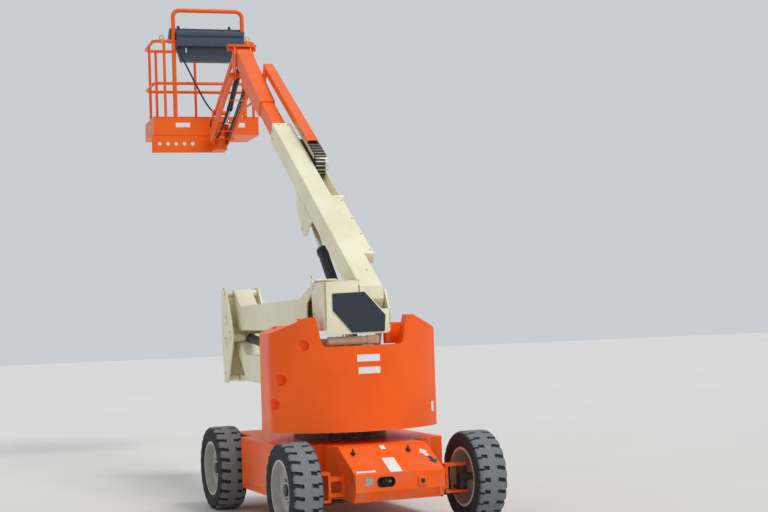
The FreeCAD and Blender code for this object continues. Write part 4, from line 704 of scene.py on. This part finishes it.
def end_face_details():
    """What sits on the hood's upright end face, and the labels on the chassis' sides."""
    lining = block((-1.2995, 0.0455, 0.3625), (-1.2610, 0.1945, 0.4415))
    points = lining.data.vertices

    def along_x(edge):
        first, second = edge.vertices
        return abs(points[first].co.x - points[second].co.x) > 0.01

    pick(lining, along_x, "EDGE")
    bpy.ops.mesh.bevel(offset=0.0355, segments=8, affect="EDGES")
    pick(lining, faces_towards((-1, 0, 0)))
    bpy.ops.mesh.inset(thickness=0.0025)
    bpy.ops.mesh.extrude_region_move(TRANSFORM_OT_translate={"value": (0.036, 0, 0)})
    done()
    finish(lining, "charging_recess_lining", "chassis", BLACK, CHASSIS, 40)
    lamp = bar((-1.262, 0.078, 0.404), (-1.276, 0.078, 0.404), 0.011, 20, 0.003)
    finish(lamp, "charge_lamp", "chassis", AMBER, CHASSIS)
    tie = bar((-1.264, 0.094, 0.383), (-1.281, 0.112, 0.425), 0.003, 8)
    finish(tie, "charge_cap_strap", "chassis", ZINC, CHASSIS)
    face = CHASSIS @ placed(-1.300, 0, 0) @ REAR_FACE
    label((0.385, 0.227), (0.440, 0.285), "end_label_grey", "chassis", face, ZINC)
    boss = block((0.356, -0.214, 0.0), (0.428, -0.142, 0.014), 0.006, 3)
    finish(boss, "end_boss", "chassis", ORANGE, face)
    socket = block((0.374, -0.194, 0.010), (0.410, -0.160, 0.0155), 0.003)
    finish(socket, "end_socket", "chassis", BLACK, face)
    hook = joined([block((0.262, -0.333, 0.0), (0.330, -0.315, 0.006), 0.002),
                   block((0.262, -0.333, 0.004), (0.272, -0.315, 0.030), 0.002),
                   block((0.262, -0.333, 0.024), (0.296, -0.315, 0.030), 0.002)])
    finish(hook, "cable_hook", "chassis", ORANGE, face)
    flank = CHASSIS @ placed(0, 0.367, 0) @ SIDE_FACE[1]
    label((-1.250, -0.470), (-1.205, -0.395), "hood_side_label", "chassis", flank, ZINC)
    for side, name in ((1, "left"), (-1, "right")):
        hull = CHASSIS @ placed(0, side * HULL_SIDE, 0) @ SIDE_FACE[side]
        disc = bar((0.700, -side * 0.560, 0.0), (0.700, -side * 0.560, 0.0008), 0.030, 32)
        finish(disc, "hull_label_" + name, "chassis", ZINC, hull)


def curved_label(start, end, low, high, name):
    """A blank plate on the counterweight, between two angles from its rearmost line."""
    clear_selection()
    bpy.ops.mesh.primitive_cylinder_add(vertices=720, radius=TAIL_RADIUS + 0.0004,
                                        depth=high - low, end_fill_type="NOTHING",
                                        location=(0, 0, (low + high) / 2))
    shell = bpy.context.object
    bpy.ops.object.transform_apply(location=True)
    first, last = sorted((math.radians(180 - start), math.radians(180 - end)))

    def outside(face):
        angle = math.atan2(face.center.y, face.center.x) % (2 * math.pi)
        return not first < angle < last

    pick(shell, outside)
    bpy.ops.mesh.delete(type="FACE")
    done()
    sheet = shell.modifiers.new("thickness", "SOLIDIFY")
    sheet.thickness = 0.0008
    sheet.offset = 1.0
    take(shell)
    bpy.ops.object.modifier_apply(modifier="thickness")
    finish(shell, name, "turntable", WHITE, TABLE)


def tail_details():
    """Blank labels and lifting plugs of the counterweight."""
    curved_label(-8.0, 4.5, 1.301, 1.356, "tail_label_upper")
    curved_label(-7.8, 4.2, 1.205, 1.258, "tail_label_lower")
    curved_label(-50.0, -45.4, 0.864, 0.945, "tail_label_side")
    for number, (x, y) in enumerate(((-0.640, 0.470), (-0.640, -0.470), (-0.330, 0.600),
                                     (-0.330, -0.600)), 1):
        height = 1.660 - max(0.0, abs(y) - 0.440) * 0.120 / 0.261
        plug = bar((x, y, height - 0.006), (x, y, height + 0.006), 0.024, 24, 0.003)
        finish(plug, f"tail_plug_{number}", "turntable", ORANGE, TABLE)


def cover_details():
    """Doors, louvres and latches of the turntable's side covers, and the ground controls."""
    for side, reach, name in ((1, 0.500, "left"), (-1, 0.620, "right")):
        face = TABLE @ placed(0, side * reach, 0) @ SIDE_FACE[side]
        low, high = sorted((-side * 0.815, -side * 1.215))
        door = block((-0.070, low, 0.0), (0.420, high, 0.004))
        round_edges(door, 0.0035, 2)
        finish(door, f"cover_door_{name}", "turntable", ORANGE, face)
        slats = []
        for number in range(6):
            level = 0.880 + 0.026 * number
            low, high = sorted((-side * level, -side * (level + 0.013)))
            slat = block((0.010, low, 0.003), (0.190, high, 0.010))
            upper = (0, 1, 0) if side < 0 else (0, -1, 0)
            pick(slat, faces_towards(upper))
            bpy.ops.transform.translate(value=(0, 0, -0.004))
            done()
            slats.append(slat)
        finish(joined(slats), f"cover_louvres_{name}", "turntable", ORANGE, face)
        for number, x in enumerate((0.040, 0.330), 1):
            level = -side * 1.180
            pad = block((x - 0.026, level - 0.014, 0.003), (x + 0.026, level + 0.014, 0.008),
                        0.003)
            tongue = block((x - 0.018, level - 0.006, 0.007), (x + 0.018, level + 0.006, 0.013),
                           0.002)
            finish(joined([pad, tongue]), f"cover_latch_{name}_{number}", "turntable", BLACK,
                   face)
    face = TABLE @ placed(0, -0.620, 0) @ SIDE_FACE[-1]
    panel = block((0.235, 0.930, 0.003), (0.400, 1.140, 0.018), 0.006, 3)
    finish(panel, "ground_control_panel", "turntable", DARK_PAINT, face)
    levers = []
    for row in range(3):
        for column in range(3):
            x, z = 0.262 + 0.034 * column, 0.962 + 0.040 * row
            levers.append(bar((x, z, 0.016), (x, z, 0.021), 0.009, 16))
            levers.append(bar((x, z, 0.019), (x, z + 0.008, 0.042), 0.0035, 10, 0.001))
    finish(joined(levers), "ground_control_switches", "turntable", ZINC, face)
    stop = joined([bar((0.370, 1.100, 0.016), (0.370, 1.100, 0.032), 0.010, 20),
                   bar((0.370, 1.100, 0.032), (0.370, 1.100, 0.044), 0.018, 28, 0.004)])
    finish(stop, "ground_control_stop", "turntable", RED, face)
    key = bar((0.275, 1.100, 0.016), (0.275, 1.100, 0.028), 0.012, 24, 0.002)
    finish(key, "ground_control_key_switch", "turntable", ZINC, face)


def notch_details():
    """The swivel tube that lies in the counterweight's notch, and the cover beside it."""
    tube = [bar((-0.700, -0.160, 1.464), (-0.700, 0.262, 1.464), 0.036, 36, 0.003)]
    for y in (-0.020, 0.075, 0.180):
        tube.append(bar((-0.700, y, 1.464), (-0.700, y + 0.012, 1.464), 0.0395, 36, 0.002))
    tube.append(block((-0.742, -0.148, 1.436), (-0.690, -0.058, 1.506), 0.005, 3))
    finish(joined(tube), "notch_tube", "turntable", CREAM, TABLE)
    cover = block((-0.560, -0.415, 1.430), (-0.545, -0.245, 1.600), 0.006, 3)
    box = block((-0.600, -0.300, 1.430), (-0.560, -0.250, 1.585), 0.005, 3)
    finish(joined([cover, box]), "notch_cover", "turntable", ORANGE, TABLE)


def ring_bolts():
    """The bolts that hold the slewing ring on the chassis."""
    spots = [(SLEW_FORWARD + x, y, z) for x, y, z in circle_of(30, 0.376, 0.705)]
    bolts(spots, (0, 0, 1), 0.010, 0.014, "slew_ring_bolts", "chassis", CHASSIS)


def hull_details():
    """The chassis' side boxes between the axles, their seams and the drive cover's bolts."""
    for side, name in ((1, "left"), (-1, "right")):
        face = CHASSIS @ placed(0, side * HULL_SIDE, 0) @ SIDE_FACE[side]
        low, high = sorted((-side * 0.250, -side * 0.262))
        rib = block((-0.480, low, -0.001), (0.600, high, 0.106), 0.003)
        finish(rib, f"hull_seam_{name}", "chassis", ORANGE, face)
        inner, outer = sorted((side * (HULL_SIDE - 0.004), side * 0.700))
        box = block((-0.500, inner, 0.215), (0.615, outer, DECK))
        pick(box, faces_towards((0, side, 0)))
        bpy.ops.mesh.inset(thickness=0.030, depth=0.0)
        bpy.ops.mesh.inset(thickness=0.004, depth=-0.004)
        done()
        round_edges(box, 0.008, 3, 60)
        finish(box, f"hull_side_{name}", "chassis", ORANGE, CHASSIS)
    front = CHASSIS @ placed(1.285, 0, 0) @ Matrix.Rotation(math.radians(90), 4, "Y")
    spots = [(-z, y, 0.0) for y in (-0.290, -0.145, 0.0, 0.145, 0.290) for z in (0.300, 0.570)]
    bolts(spots, (0, 0, 1), 0.009, 0.010, "drive_cover_bolts", "chassis", front)


hood_details()
end_face_details()
tail_details()
cover_details()
notch_details()
ring_bolts()
hull_details()


# Tower, upright, booms and jib
def pin_cap(spot, side, radius, name, body, place, height=0.007, turn=0.0, material=None):
    """A pin's end, its keeper plate and the plate's bolt, standing on the face at spot."""
    face = place @ placed(*spot) @ SIDE_FACE[side] @ Matrix.Rotation(math.radians(turn), 4, "Z")
    head = bar((0, 0, -0.001), (0, 0, height), radius, 36, 0.0015)
    keeper = block((-0.015, radius * 0.2, -0.0005), (0.015, radius + 0.040, height - 0.001),
                   0.002)
    finish(joined([head, keeper]), name, body, material or CREAM, face)
    bolts([(0, radius + 0.026, height - 0.002)], (0, 0, 1), 0.0075, 0.006, name + "_bolt", body,
          face)


TOWER_PINS = [
    # name, forward, height, pin radius, body, left face, right face
    ("front", 3.0398, 1.400, 0.034, "tower_knuckle", 0.380, 0.020),
    ("upper_front", 3.0698, 1.915, 0.034, "tower_knuckle", 0.380, 0.020),
    ("upper_link_front", 3.0198, 1.620, 0.030, "tower_knuckle", 0.380, 0.020),
    ("lower_link_front", 3.0998, 1.050, 0.030, "tower_knuckle", 0.380, 0.020),
    ("tower_rod", 2.7998, 1.466, 0.030, "tower_knuckle", 0.380, 0.020),
    ("upper_rear", -0.4502, 1.925, 0.034, "upright", 0.310, None),
    ("upper_link_rear", -0.5002, 1.630, 0.030, "upright", 0.310, None),
    ("boom", -0.6602, 1.800, 0.042, "upright", None, -0.225),
    ("lift_base", -0.4002, 1.250, 0.034, "upright", None, -0.225),
    ("tower", -0.4800, 1.440, 0.034, "turntable", 0.322, 0.078),
    ("lower_link_rear", -0.4200, 1.090, 0.030, "turntable", 0.322, 0.078),
]


def tower_details():
    """Pins of the folding tower, its patch, its hoses and the screws of the upright's cover."""
    for name, x, z, radius, body, left, right in TOWER_PINS:
        colour = (ORANGE, "orange_paint") if body == "turntable" else (CREAM, "cream_paint")
        if left is not None:
            pin_cap((x, left, z), 1, radius, f"pin_{name}_left", body, TABLE,
                    turn=180, material=colour[0])
        if right is not None:
            pin_cap((x, right, z), -1, radius, f"pin_{name}_right", body, TABLE, 0.004,
                    material=colour[0])
    # Square patch welded on the upper arm's left side
    patch = block((-1.700, 0.0895, -0.262), (-1.470, 0.0925, -0.175), 0.003)
    finish(patch, "arm_patch", "upper_arm", CREAM, UPPER_ARM)
    # Hoses of the tower cylinder, on the lower arm's back
    for number, y in enumerate((-0.062, -0.041, 0.041, 0.062)):
        sway = 0.006 if number % 2 else -0.004
        points = [(0.300, y * 0.6, -0.060), (0.420, y, -0.101), (0.900, y + sway, -0.101),
                  (1.400, y - sway, -0.101), (1.800, y, -0.101), (1.930, y, -0.092),
                  (2.010, y * 0.92, -0.040)]
        hose(points, 0.008, f"tower_hose_{number}", "lower_arm", LOWER_ARM)
    clips = [block((x - 0.012, -0.078, -0.1105), (x + 0.012, 0.078, -0.0915), 0.003)
             for x in (0.560, 1.150, 1.700)]
    finish(joined(clips), "tower_hose_clips", "lower_arm", CREAM, LOWER_ARM)
    # Fixings of the upright's rear cover
    cover = TABLE @ placed(-0.8482, 0, 0) @ REAR_FACE
    spots = [(1.822, 0.226, 0), (1.829, -0.005, 0), (1.655, -0.160, 0), (1.555, -0.150, 0),
             (1.551, 0.084, 0), (1.716, 0.226, 0)]
    bolts(spots, (0, 0, 1), 0.007, 0.006, "cover_screws", "upright", cover, NAVY)


def upright_plates():
    """The upright's plates and pins, with the corner cut away behind the boom's tail."""
    rear, inner = -0.8402, -0.8252
    foot = [(-0.3502, 1.270), (-0.3502, 1.222), (-0.3672, 1.205), (-0.4332, 1.205),
            (-0.6002, 1.552), (rear, 1.552)]
    plates = [
        cut_plate([(-0.190, 1.520), (0.275, 1.520), (0.300, 1.530), (0.310, 1.555), (0.310, 1.950),
                   (0.030, 1.950), (0.030, 1.911), (-0.154, 1.713), (-0.225, 1.713),
                   (-0.225, 1.555), (-0.215, 1.530)], "X", rear, inner),
        cut_plate([(rear, 1.950), (-0.3952, 1.950), (-0.3952, 1.875), (-0.4502, 1.590),
                   (-0.4900, 1.552), (rear, 1.552)], "Y", 0.295, 0.310),
        cut_plate([(rear, 1.950), (-0.3952, 1.950), (-0.3952, 1.875), (-0.4502, 1.600), *foot],
                  "Y", 0.020, 0.035),
        cut_plate([(rear, 1.713), (-0.735, 1.870), (-0.628, 1.870), (-0.5502, 1.680),
                   (-0.4502, 1.600), *foot], "Y", -0.225, -0.210),
        block((rear, 0.020, 1.935), (-0.5202, 0.310, 1.950), 0.002)]
    pins = [(-0.4502, 1.925, 0.024, 0.020, 0.310), (-0.4502, 1.925, 0.036, 0.034, 0.105),
            (-0.5002, 1.630, 0.024, 0.020, 0.310), (-0.5002, 1.630, 0.036, 0.034, 0.150),
            (-0.5002, 1.630, 0.036, 0.250, 0.296), (-0.6602, 1.800, 0.032, -0.225, 0.035),
            (-0.4002, 1.250, 0.024, -0.225, 0.035), (-0.4002, 1.250, 0.036, -0.211, -0.137),
            (-0.4002, 1.250, 0.036, -0.053, 0.021)]
    plates += [bar((x, low, z), (x, high, z), radius, 32, 0.001)
               for x, z, radius, low, high in pins]
    finish(joined(plates), "upright_plates", "upright", CREAM, TABLE,
           stands_for=("upright",))


def welded_edges():
    """Fillet welds on the lower arm's sides, beside its two pivots."""
    beads = []
    for y in (0.09068, -0.09068):
        for x in (0.100, 3.420):
            beads.append(bar((x - 0.035, y, -0.030), (x + 0.035, y, -0.030), 0.0035, 8))
    finish(joined(beads), "lower_arm_welds", "lower_arm", CREAM, LOWER_ARM)


def cylinder_details():
    """Ports, hoses and gland of the lift cylinder, and the tower cylinder's port."""
    for number, (start, radius) in enumerate(((0.100, 0.048), (1.500, 0.053))):
        port = block((start, -0.018, radius - 0.006), (start + 0.036, 0.018, radius + 0.016),
                     0.003)
        finish(port, f"lift_port_{number}", "lift_cylinder_barrel", DARK_PAINT,
               LIFT_RAM)
    hose([(0.118, 0.010, 0.062), (0.150, 0.014, 0.074), (0.240, 0.014, 0.066),
          (0.700, 0.014, 0.062), (1.200, 0.012, 0.062), (1.420, 0.010, 0.062),
          (1.486, 0.006, 0.068), (1.518, 0.0, 0.060)], 0.008, "lift_hose_a",
         "lift_cylinder_barrel", LIFT_RAM)
    hose([(0.118, -0.010, 0.062), (0.160, -0.018, 0.076), (0.300, -0.018, 0.066),
          (0.900, -0.020, 0.062), (1.380, -0.018, 0.062), (1.470, -0.010, 0.070),
          (1.512, -0.004, 0.060)], 0.008, "lift_hose_b", "lift_cylinder_barrel", LIFT_RAM)
    gland = joined([bar((1.5465, 0, 0), (1.5485, 0, 0), 0.040, 36, 0.0008),
                    *[hex_bolt((x, y, z), (1, 0, 0), 0.005, 0.006)
                      for y, z, x in circle_of(6, 0.036, 1.5470)]])
    finish(gland, "lift_gland", "lift_cylinder_barrel", ZINC, LIFT_RAM)
    port = block((0.090, -0.016, 0.038), (0.122, 0.016, 0.058), 0.003)
    finish(port, "tower_port", "tower_cylinder_barrel", DARK_PAINT, TOWER_RAM)


BOOM_HALF = 0.095


def boom_details():
    """The rear tray's lid, and the pad screws, pins and hook of the main boom."""
    lid = block((0.620, -0.205, 0.0895), (1.740, -0.100, 0.0925), 0.0012)
    lip = block((0.620, -0.2075, 0.0600), (1.740, -0.2050, 0.0925), 0.001)
    end = block((0.6160, -0.2075, -0.0005), (0.6200, -0.1000, 0.0925), 0.001)
    finish(joined([lid, lip, end]), "tray_lid", "base_boom", CREAM, BOOM)
    screws = [(x, -0.190, 0.0925) for x in (0.680, 0.990, 1.300, 1.680)]
    bolts(screws, (0, 0, 1), 0.006, 0.005, "tray_lid_screws", "base_boom", BOOM)
    hook = joined([block((1.745, -0.230, 0.0895), (1.795, -0.100, 0.0935), 0.0015),
                   block((1.780, -0.262, 0.0895), (1.795, -0.226, 0.0935), 0.0015),
                   block((1.780, -0.264, 0.0895), (1.795, -0.259, 0.122), 0.0015)])
    finish(hook, "tray_hook", "base_boom", CREAM, BOOM)
    for side in (1, -1):
        pin_cap((1.884, side * BOOM_HALF, -0.225), side, 0.034, f"pin_lift_{side + 1}",
                "base_boom", BOOM, 0.004 if side > 0 else 0.007)
        face = BOOM @ placed(0, side * BOOM_HALF, 0) @ SIDE_FACE[side]
        boss = bar((1.895, side * 0.094, 0.0), (1.895, side * 0.094, 0.003), 0.052, 40, 0.001)
        finish(boss, f"lug_disc_{side + 1}", "base_boom", CREAM, face)
    top = [(3.378, y, 0.1415) for y in (-0.056, 0.040)]
    bolts(top, (0, 0, 1), 0.008, 0.005, "boom_pad_screws_top", "base_boom", BOOM)
    spots = [(x, BOOM_HALF, z) for x in (3.360, 3.405) for z in (0.000, 0.080)]
    bolts(spots, (0, 1, 0), 0.008, 0.005, "boom_pad_screws_side", "base_boom", BOOM)
    # Painted shade: a flat dark disc on the boom's top stands for the shade inside a small grease
    # hole.
    grease_hole_shade = bar((0.220, -0.031, 0.1412), (0.220, -0.031, 0.1420), 0.008, 16)
    finish(grease_hole_shade, "boom_grease_hole_shade", "base_boom", DARK_PAINT, BOOM)
    for side, name in ((1, "left"), (-1, "right")):
        pin_cap((0.0, side * BOOM_HALF, 0.0), side, 0.046, f"boom_boss_{name}", "base_boom",
                BOOM, 0.003, 90)


TRACK_LINKS = [3.230 - 0.066 * number for number in range(12)]


def track_details():
    """Cross bars and side plates of the power track, on its runs and round its bend."""
    low, high, middle = -0.222, -0.100, 0.1105
    pieces = [block((x - 0.012, low, 0.2150), (x, high, 0.2175), 0.001) for x in TRACK_LINKS]
    for inner, outer in ((low, low + 0.004), (high - 0.004, high)):
        for x in TRACK_LINKS:
            for level in (0.1735, 0.0070):
                pieces.append(block((x - 0.060, inner, level), (x - 0.004, outer, level + 0.040),
                                    0.0015))
    finish(joined(pieces), "track_bars", "power_track", TRACK_METAL, BOOM)
    bars = []
    for number in range(9):
        angle = math.radians(95 + 21 * number)
        spoke = block((-0.006, low, 0.1035), (0.006, high, 0.1072), 0.001)
        place = placed(2.436, 0, middle) @ Matrix.Rotation(math.pi / 2 - angle, 4, "Y")
        spoke.data.transform(place)
        bars.append(spoke)
    finish(joined(bars), "track_bend_bars", "power_track", TRACK_METAL, BOOM)
    lines = []
    for number in range(4):
        y = -0.198 + 0.0250 * number
        lines.append(bar((2.480, y, 0.2128), (3.230, y, 0.2160), 0.0045, 8))
    finish(joined(lines), "track_hoses", "power_track", BLACK, BOOM)
    anchor = block((3.236, low, 0.160), (3.262, high, 0.222), 0.003)
    finish(anchor, "track_anchor", "power_track", TRACK_METAL, BOOM)


def jib_details():
    """Pin caps of the jib, the cover over its bracket, and its hoses with their carriers."""
    for side, name in ((1, "left"), (-1, "right")):
        for pin, x, z in (("upper", 0.060, 0.147), ("lower", 0.050, -0.153)):
            cap = bar((x, side * 0.150, z), (x, side * 0.157, z), 0.027, 32, 0.0015)
            finish(cap, f"pin_{pin}_bracket_{name}", "level_bracket", ORANGE_UPPER_LIT,
                   TIP)
        cap = bar((1.5, side * 0.150, 0), (1.5, side * 0.157, 0), 0.027, 32, 0.0015)
        finish(cap, f"pin_jib_head_{name}", "jib_arm", ORANGE_UPPER_LIT, JIB)
    # Folded cover over the bracket's upper pin, slotted for the jib's link
    slot = (0.040, 0.082)
    cover = [block((0.000, -0.158, 0.186), (0.034, 0.158, 0.194), 0.002),
             block((0.000, -0.158, 0.166), (0.006, 0.158, 0.190), 0.001)]
    for right, left in ((-0.158, slot[0]), (slot[1], 0.158)):
        cover.append(block((0.030, right, 0.186), (0.118, left, 0.194), 0.002))
        cover.append(block((0.112, right, 0.166), (0.118, left, 0.190), 0.001))
    finish(joined(cover), "bracket_cover", "level_bracket", ORANGE_UPPER_LIT, TIP)
    # Hoses under the jib's bars, on both sides of its cylinder
    for number, (y, z) in enumerate(((0.044, 0.000), (0.063, -0.003), (0.054, -0.017),
                                     (-0.044, -0.002), (-0.063, 0.000))):
        points = [(-0.012, y, -0.044), (0.040, y, -0.052 + z), (0.240, y, -0.056 + z),
                  (0.500, y + 0.002, -0.058 + z), (0.850, y - 0.001, -0.060 + z),
                  (1.250, y, -0.054 + z), (1.400, y, -0.036), (1.478, y, -0.008)]
        hose(points, 0.0085, f"jib_hose_{number}", "jib_arm", JIB)
    clips = [block((x - 0.010, -0.101, -0.078), (x + 0.010, 0.101, -0.074), 0.001)
             for x in (0.420, 1.180)]
    finish(joined(clips), "jib_hose_carriers", "jib_arm", ORANGE_UPPER_LIT, JIB)


def nose_details():
    """Bosses and the seam on the fly boom's nose."""
    for side in (1, -1):
        face = BOOM @ placed(0, side * 0.080, 0) @ SIDE_FACE[side]
        ear = bar((5.470, -side * 0.060, 0), (5.470, -side * 0.060, 0.003), 0.052, 40, 0.001)
        finish(ear, f"nose_boss_{side + 1}", "fly_boom", ORANGE_UPPER_LIT, face)
    strap = block((4.112, -0.0725, 0.1115), (4.126, 0.0725, 0.1145), 0.001)
    finish(strap, "nose_seam", "fly_boom", ORANGE_UPPER_LIT, BOOM)


tower_details()
upright_plates()
welded_edges()
cylinder_details()
boom_details()
track_details()
jib_details()
nose_details()


# Platform
FLOOR_TOP = 0.096
NEAR_X, FAR_X = 0.160, 0.920
LEFT_Y, RIGHT_Y = 0.767, -0.523
RAIL_NEAR, RAIL_FAR = 0.182, 0.898
RAIL_RIGHT = -0.501
HOOP_RIGHT, HOOP_LEFT = -0.355, 0.495
CONSOLE_X = 0.2013


def platform_floor_details():
    """The floor's steel grating, the blank plates on its toe board and the foot switch."""
    bars = []
    for number in range(24):
        y = RIGHT_Y + 0.030 + (LEFT_Y - RIGHT_Y - 0.060) * number / 23
        bars.append(block((NEAR_X + 0.010, y - 0.002, FLOOR_TOP - 0.001),
                          (FAR_X - 0.010, y + 0.002, FLOOR_TOP + 0.004)))
    for number in range(14):
        x = NEAR_X + 0.030 + (FAR_X - NEAR_X - 0.060) * number / 13
        bars.append(block((x - 0.0025, RIGHT_Y + 0.012, FLOOR_TOP - 0.001),
                          (x + 0.0025, LEFT_Y - 0.012, FLOOR_TOP + 0.003)))
    finish(joined(bars), "floor_grating", "platform", ZINC, PLATFORM, smooth=0)
    near = PLATFORM @ placed(NEAR_X, 0, 0) @ REAR_FACE
    label((0.160, 0.325), (0.216, 0.500), "toe_plate_left", "platform", near)
    label((0.160, -0.352), (0.216, -0.155), "toe_plate_right", "platform", near)
    end = PLATFORM @ placed(0, LEFT_Y, 0) @ SIDE_FACE[1]
    label((0.420, -0.220), (0.560, -0.150), "toe_plate_end", "platform", end, ZINC)
    # Turned-out edges of the toe board
    lip = joined([block((NEAR_X - 0.006, RIGHT_Y, 0.0655), (NEAR_X, LEFT_Y, 0.0715), 0.001),
                  block((NEAR_X - 0.004, RIGHT_Y, 0.284), (NEAR_X, LEFT_Y, 0.290), 0.001)])
    finish(lip, "toe_lip", "platform", ORANGE_UPPER_LIT, PLATFORM)
    pedal = joined([block((0.470, 0.020, FLOOR_TOP + 0.004), (0.690, 0.170, FLOOR_TOP + 0.018),
                          0.005),
                    block((0.490, 0.035, FLOOR_TOP + 0.016), (0.660, 0.155, FLOOR_TOP + 0.034),
                          0.006),
                    block((0.480, 0.028, FLOOR_TOP + 0.060), (0.560, 0.162, FLOOR_TOP + 0.066),
                          0.003),
                    block((0.480, 0.028, FLOOR_TOP + 0.010), (0.560, 0.034, FLOOR_TOP + 0.064),
                          0.002),
                    block((0.480, 0.156, FLOOR_TOP + 0.010), (0.560, 0.162, FLOOR_TOP + 0.064),
                          0.002)])
    finish(pedal, "foot_switch", "platform", BLACK, PLATFORM)


def console_details():
    """The console's panel with its levers, switches and stop button, its apron and its cable."""
    start, rear_z, front_z = CONSOLE_X + 0.060, 1.375, 1.285
    slope = math.degrees(math.atan2(rear_z - front_z, 0.130))
    panel = PLATFORM @ placed(start, 0, rear_z) @ elevated(-slope)
    plate = block((0.012, -0.335, -0.001), (0.148, 0.505, 0.003), 0.002)
    finish(plate, "console_panel", "platform", DARK_PAINT, panel)
    levers = []
    for y in (0.400, -0.235):
        levers.append(bar((0.080, y, 0.002), (0.080, y, 0.016), 0.036, 32, 0.006))
        levers.append(bar((0.080, y, 0.014), (0.080, y, 0.038), 0.024, 28, 0.008))
        levers.append(bar((0.080, y, 0.036), (0.080, y, 0.100), 0.009, 20, 0.002))
        levers.append(bar((0.080, y, 0.096), (0.080, y, 0.135), 0.018, 24, 0.007))
    finish(joined(levers), "console_levers", "platform", BLACK, panel)
    switches = []
    for number in range(7):
        y = 0.280 - 0.062 * number
        switches.append(bar((0.060, y, 0.002), (0.060, y, 0.008), 0.010, 16, 0.001))
        switches.append(bar((0.060, y, 0.006), (0.068, y, 0.030), 0.0035, 10, 0.001))
    finish(joined(switches), "console_switches", "platform", ZINC, panel)
    stop = joined([bar((0.110, 0.090, 0.002), (0.110, 0.090, 0.020), 0.012, 20),
                   bar((0.110, 0.090, 0.018), (0.110, 0.090, 0.032), 0.020, 32, 0.005)])
    finish(stop, "console_stop", "platform", RED, panel)
    dial = bar((0.115, -0.060, 0.002), (0.115, -0.060, 0.020), 0.016, 28, 0.003)
    finish(dial, "console_dial", "platform", BLACK, panel)
    rim = block((CONSOLE_X - 0.001, -0.366, 1.352), (CONSOLE_X + 0.060, 0.536, 1.377), 0.002)
    finish(rim, "console_rim", "platform", SLATE, PLATFORM)
    near = PLATFORM @ placed(CONSOLE_X, 0, 0) @ REAR_FACE
    label((1.085, 0.330), (1.140, 0.352), "cowl_label", "platform", near)
    # The moulded apron that hangs over the rail, outside the platform
    brow = block((0.116, -0.372, 1.282), (CONSOLE_X + 0.004, 0.466, 1.340), 0.010, 3)
    pick(brow, faces_towards((-1, 0, 0)))
    bpy.ops.transform.translate(value=(0.0, 0, -0.010))
    done()
    apron = block((0.130, -0.372, 1.150), (0.1615, 0.466, 1.290), 0.008, 3)
    pick(apron, faces_towards((0, 0, -1)))
    bpy.ops.transform.resize(value=(0.8, 0.94, 1.0))
    done()
    finish(joined([brow, apron]), "console_apron", "platform", SLATE, PLATFORM)
    screws = [(1.250, y, 0.0) for y in (-0.340, 0.085, 0.510)]
    bolts(screws, (0, 0, 1), 0.006, 0.004, "console_screws", "platform", near)
    # Control cable from the console's left end down to the platform's mount
    hose([(CONSOLE_X + 0.030, 0.500, 1.232), (CONSOLE_X + 0.020, 0.500, 1.180),
          (CONSOLE_X - 0.075, 0.440, 1.080), (CONSOLE_X - 0.085, 0.330, 0.850),
          (CONSOLE_X - 0.080, 0.210, 0.600), (CONSOLE_X - 0.085, 0.120, 0.430),
          (0.070, 0.040, 0.320), (0.012, 0.006, 0.260), (0.0, 0.0, 0.186)], 0.011,
         "control_cable", "platform", PLATFORM)


def rail_details():
    """The guard hoop, the lanyard anchors, the gate's latch and the feet of the posts."""
    hoop = [(HOOP_RIGHT, 0.300), (HOOP_RIGHT, 1.415), (HOOP_RIGHT, 1.595), (-0.175, 1.595),
            (0.315, 1.595), (HOOP_LEFT, 1.595), (HOOP_LEFT, 1.415), (HOOP_LEFT, 0.300)]
    hose([(RAIL_NEAR, y, z) for y, z in hoop], 0.026, "guard_hoop", "platform", PLATFORM,
         ORANGE_UPPER_LIT, 16)
    rings = []
    for x, y, z in ((RAIL_NEAR, 0.640, 1.215), (RAIL_NEAR, -0.420, 1.215)):
        strap = block((x - 0.024, y - 0.020, z - 0.026), (x + 0.024, y + 0.020, z + 0.022), 0.004)
        rings.append(strap)
        clear_selection()
        bpy.ops.mesh.primitive_torus_add(location=(x, y, z + 0.044), major_radius=0.026,
                                         minor_radius=0.006, major_segments=28,
                                         minor_segments=10, rotation=(0, math.radians(90), 0))
        bpy.ops.object.transform_apply(location=True, rotation=True, scale=True)
        rings.append(bpy.context.object)
    finish(joined(rings), "lanyard_anchors", "platform", YELLOW, PLATFORM)
    latch = joined([block((0.845, RAIL_RIGHT - 0.020, 1.020), (0.885, RAIL_RIGHT + 0.012, 1.060),
                          0.004),
                    bar((0.865, RAIL_RIGHT - 0.004, 1.050), (0.865, RAIL_RIGHT - 0.004, 1.100),
                        0.007, 16, 0.002)])
    finish(latch, "gate_latch", "platform_gate", ZINC, PLATFORM)
    collars = []
    for x, y in ((RAIL_NEAR, HOOP_RIGHT), (RAIL_NEAR, HOOP_LEFT), (RAIL_FAR, 0.615),
                 (RAIL_FAR, RAIL_RIGHT), (RAIL_NEAR, 0.615), (RAIL_NEAR, -0.371)):
        collars.append(block((x - 0.021, y - 0.021, FLOOR_TOP),
                             (x + 0.021, y + 0.021, FLOOR_TOP + 0.010), 0.003))
    finish(joined(collars), "post_feet", "platform", ORANGE_UPPER_LIT, PLATFORM)


def mount_details():
    """Cap, bolts and hose of the platform's turning head."""
    cap = bar((0, 0, 0.170), (0, 0, 0.182), 0.078, 40, 0.003)
    finish(cap, "turn_cap", "jib_head", ORANGE_UPPER_LIT, PLATFORM)
    spots = circle_of(8, 0.060, 0.181)
    bolts(spots, (0, 0, 1), 0.008, 0.009, "turn_cap_bolts", "jib_head", PLATFORM)
    hose([(-0.060, 0.050, 0.175), (-0.075, 0.060, 0.215), (-0.040, 0.090, 0.235),
          (0.010, 0.100, 0.215), (0.040, 0.096, 0.150)], 0.0085, "turn_hose", "jib_head", PLATFORM)


platform_floor_details()
console_details()
rail_details()
mount_details()
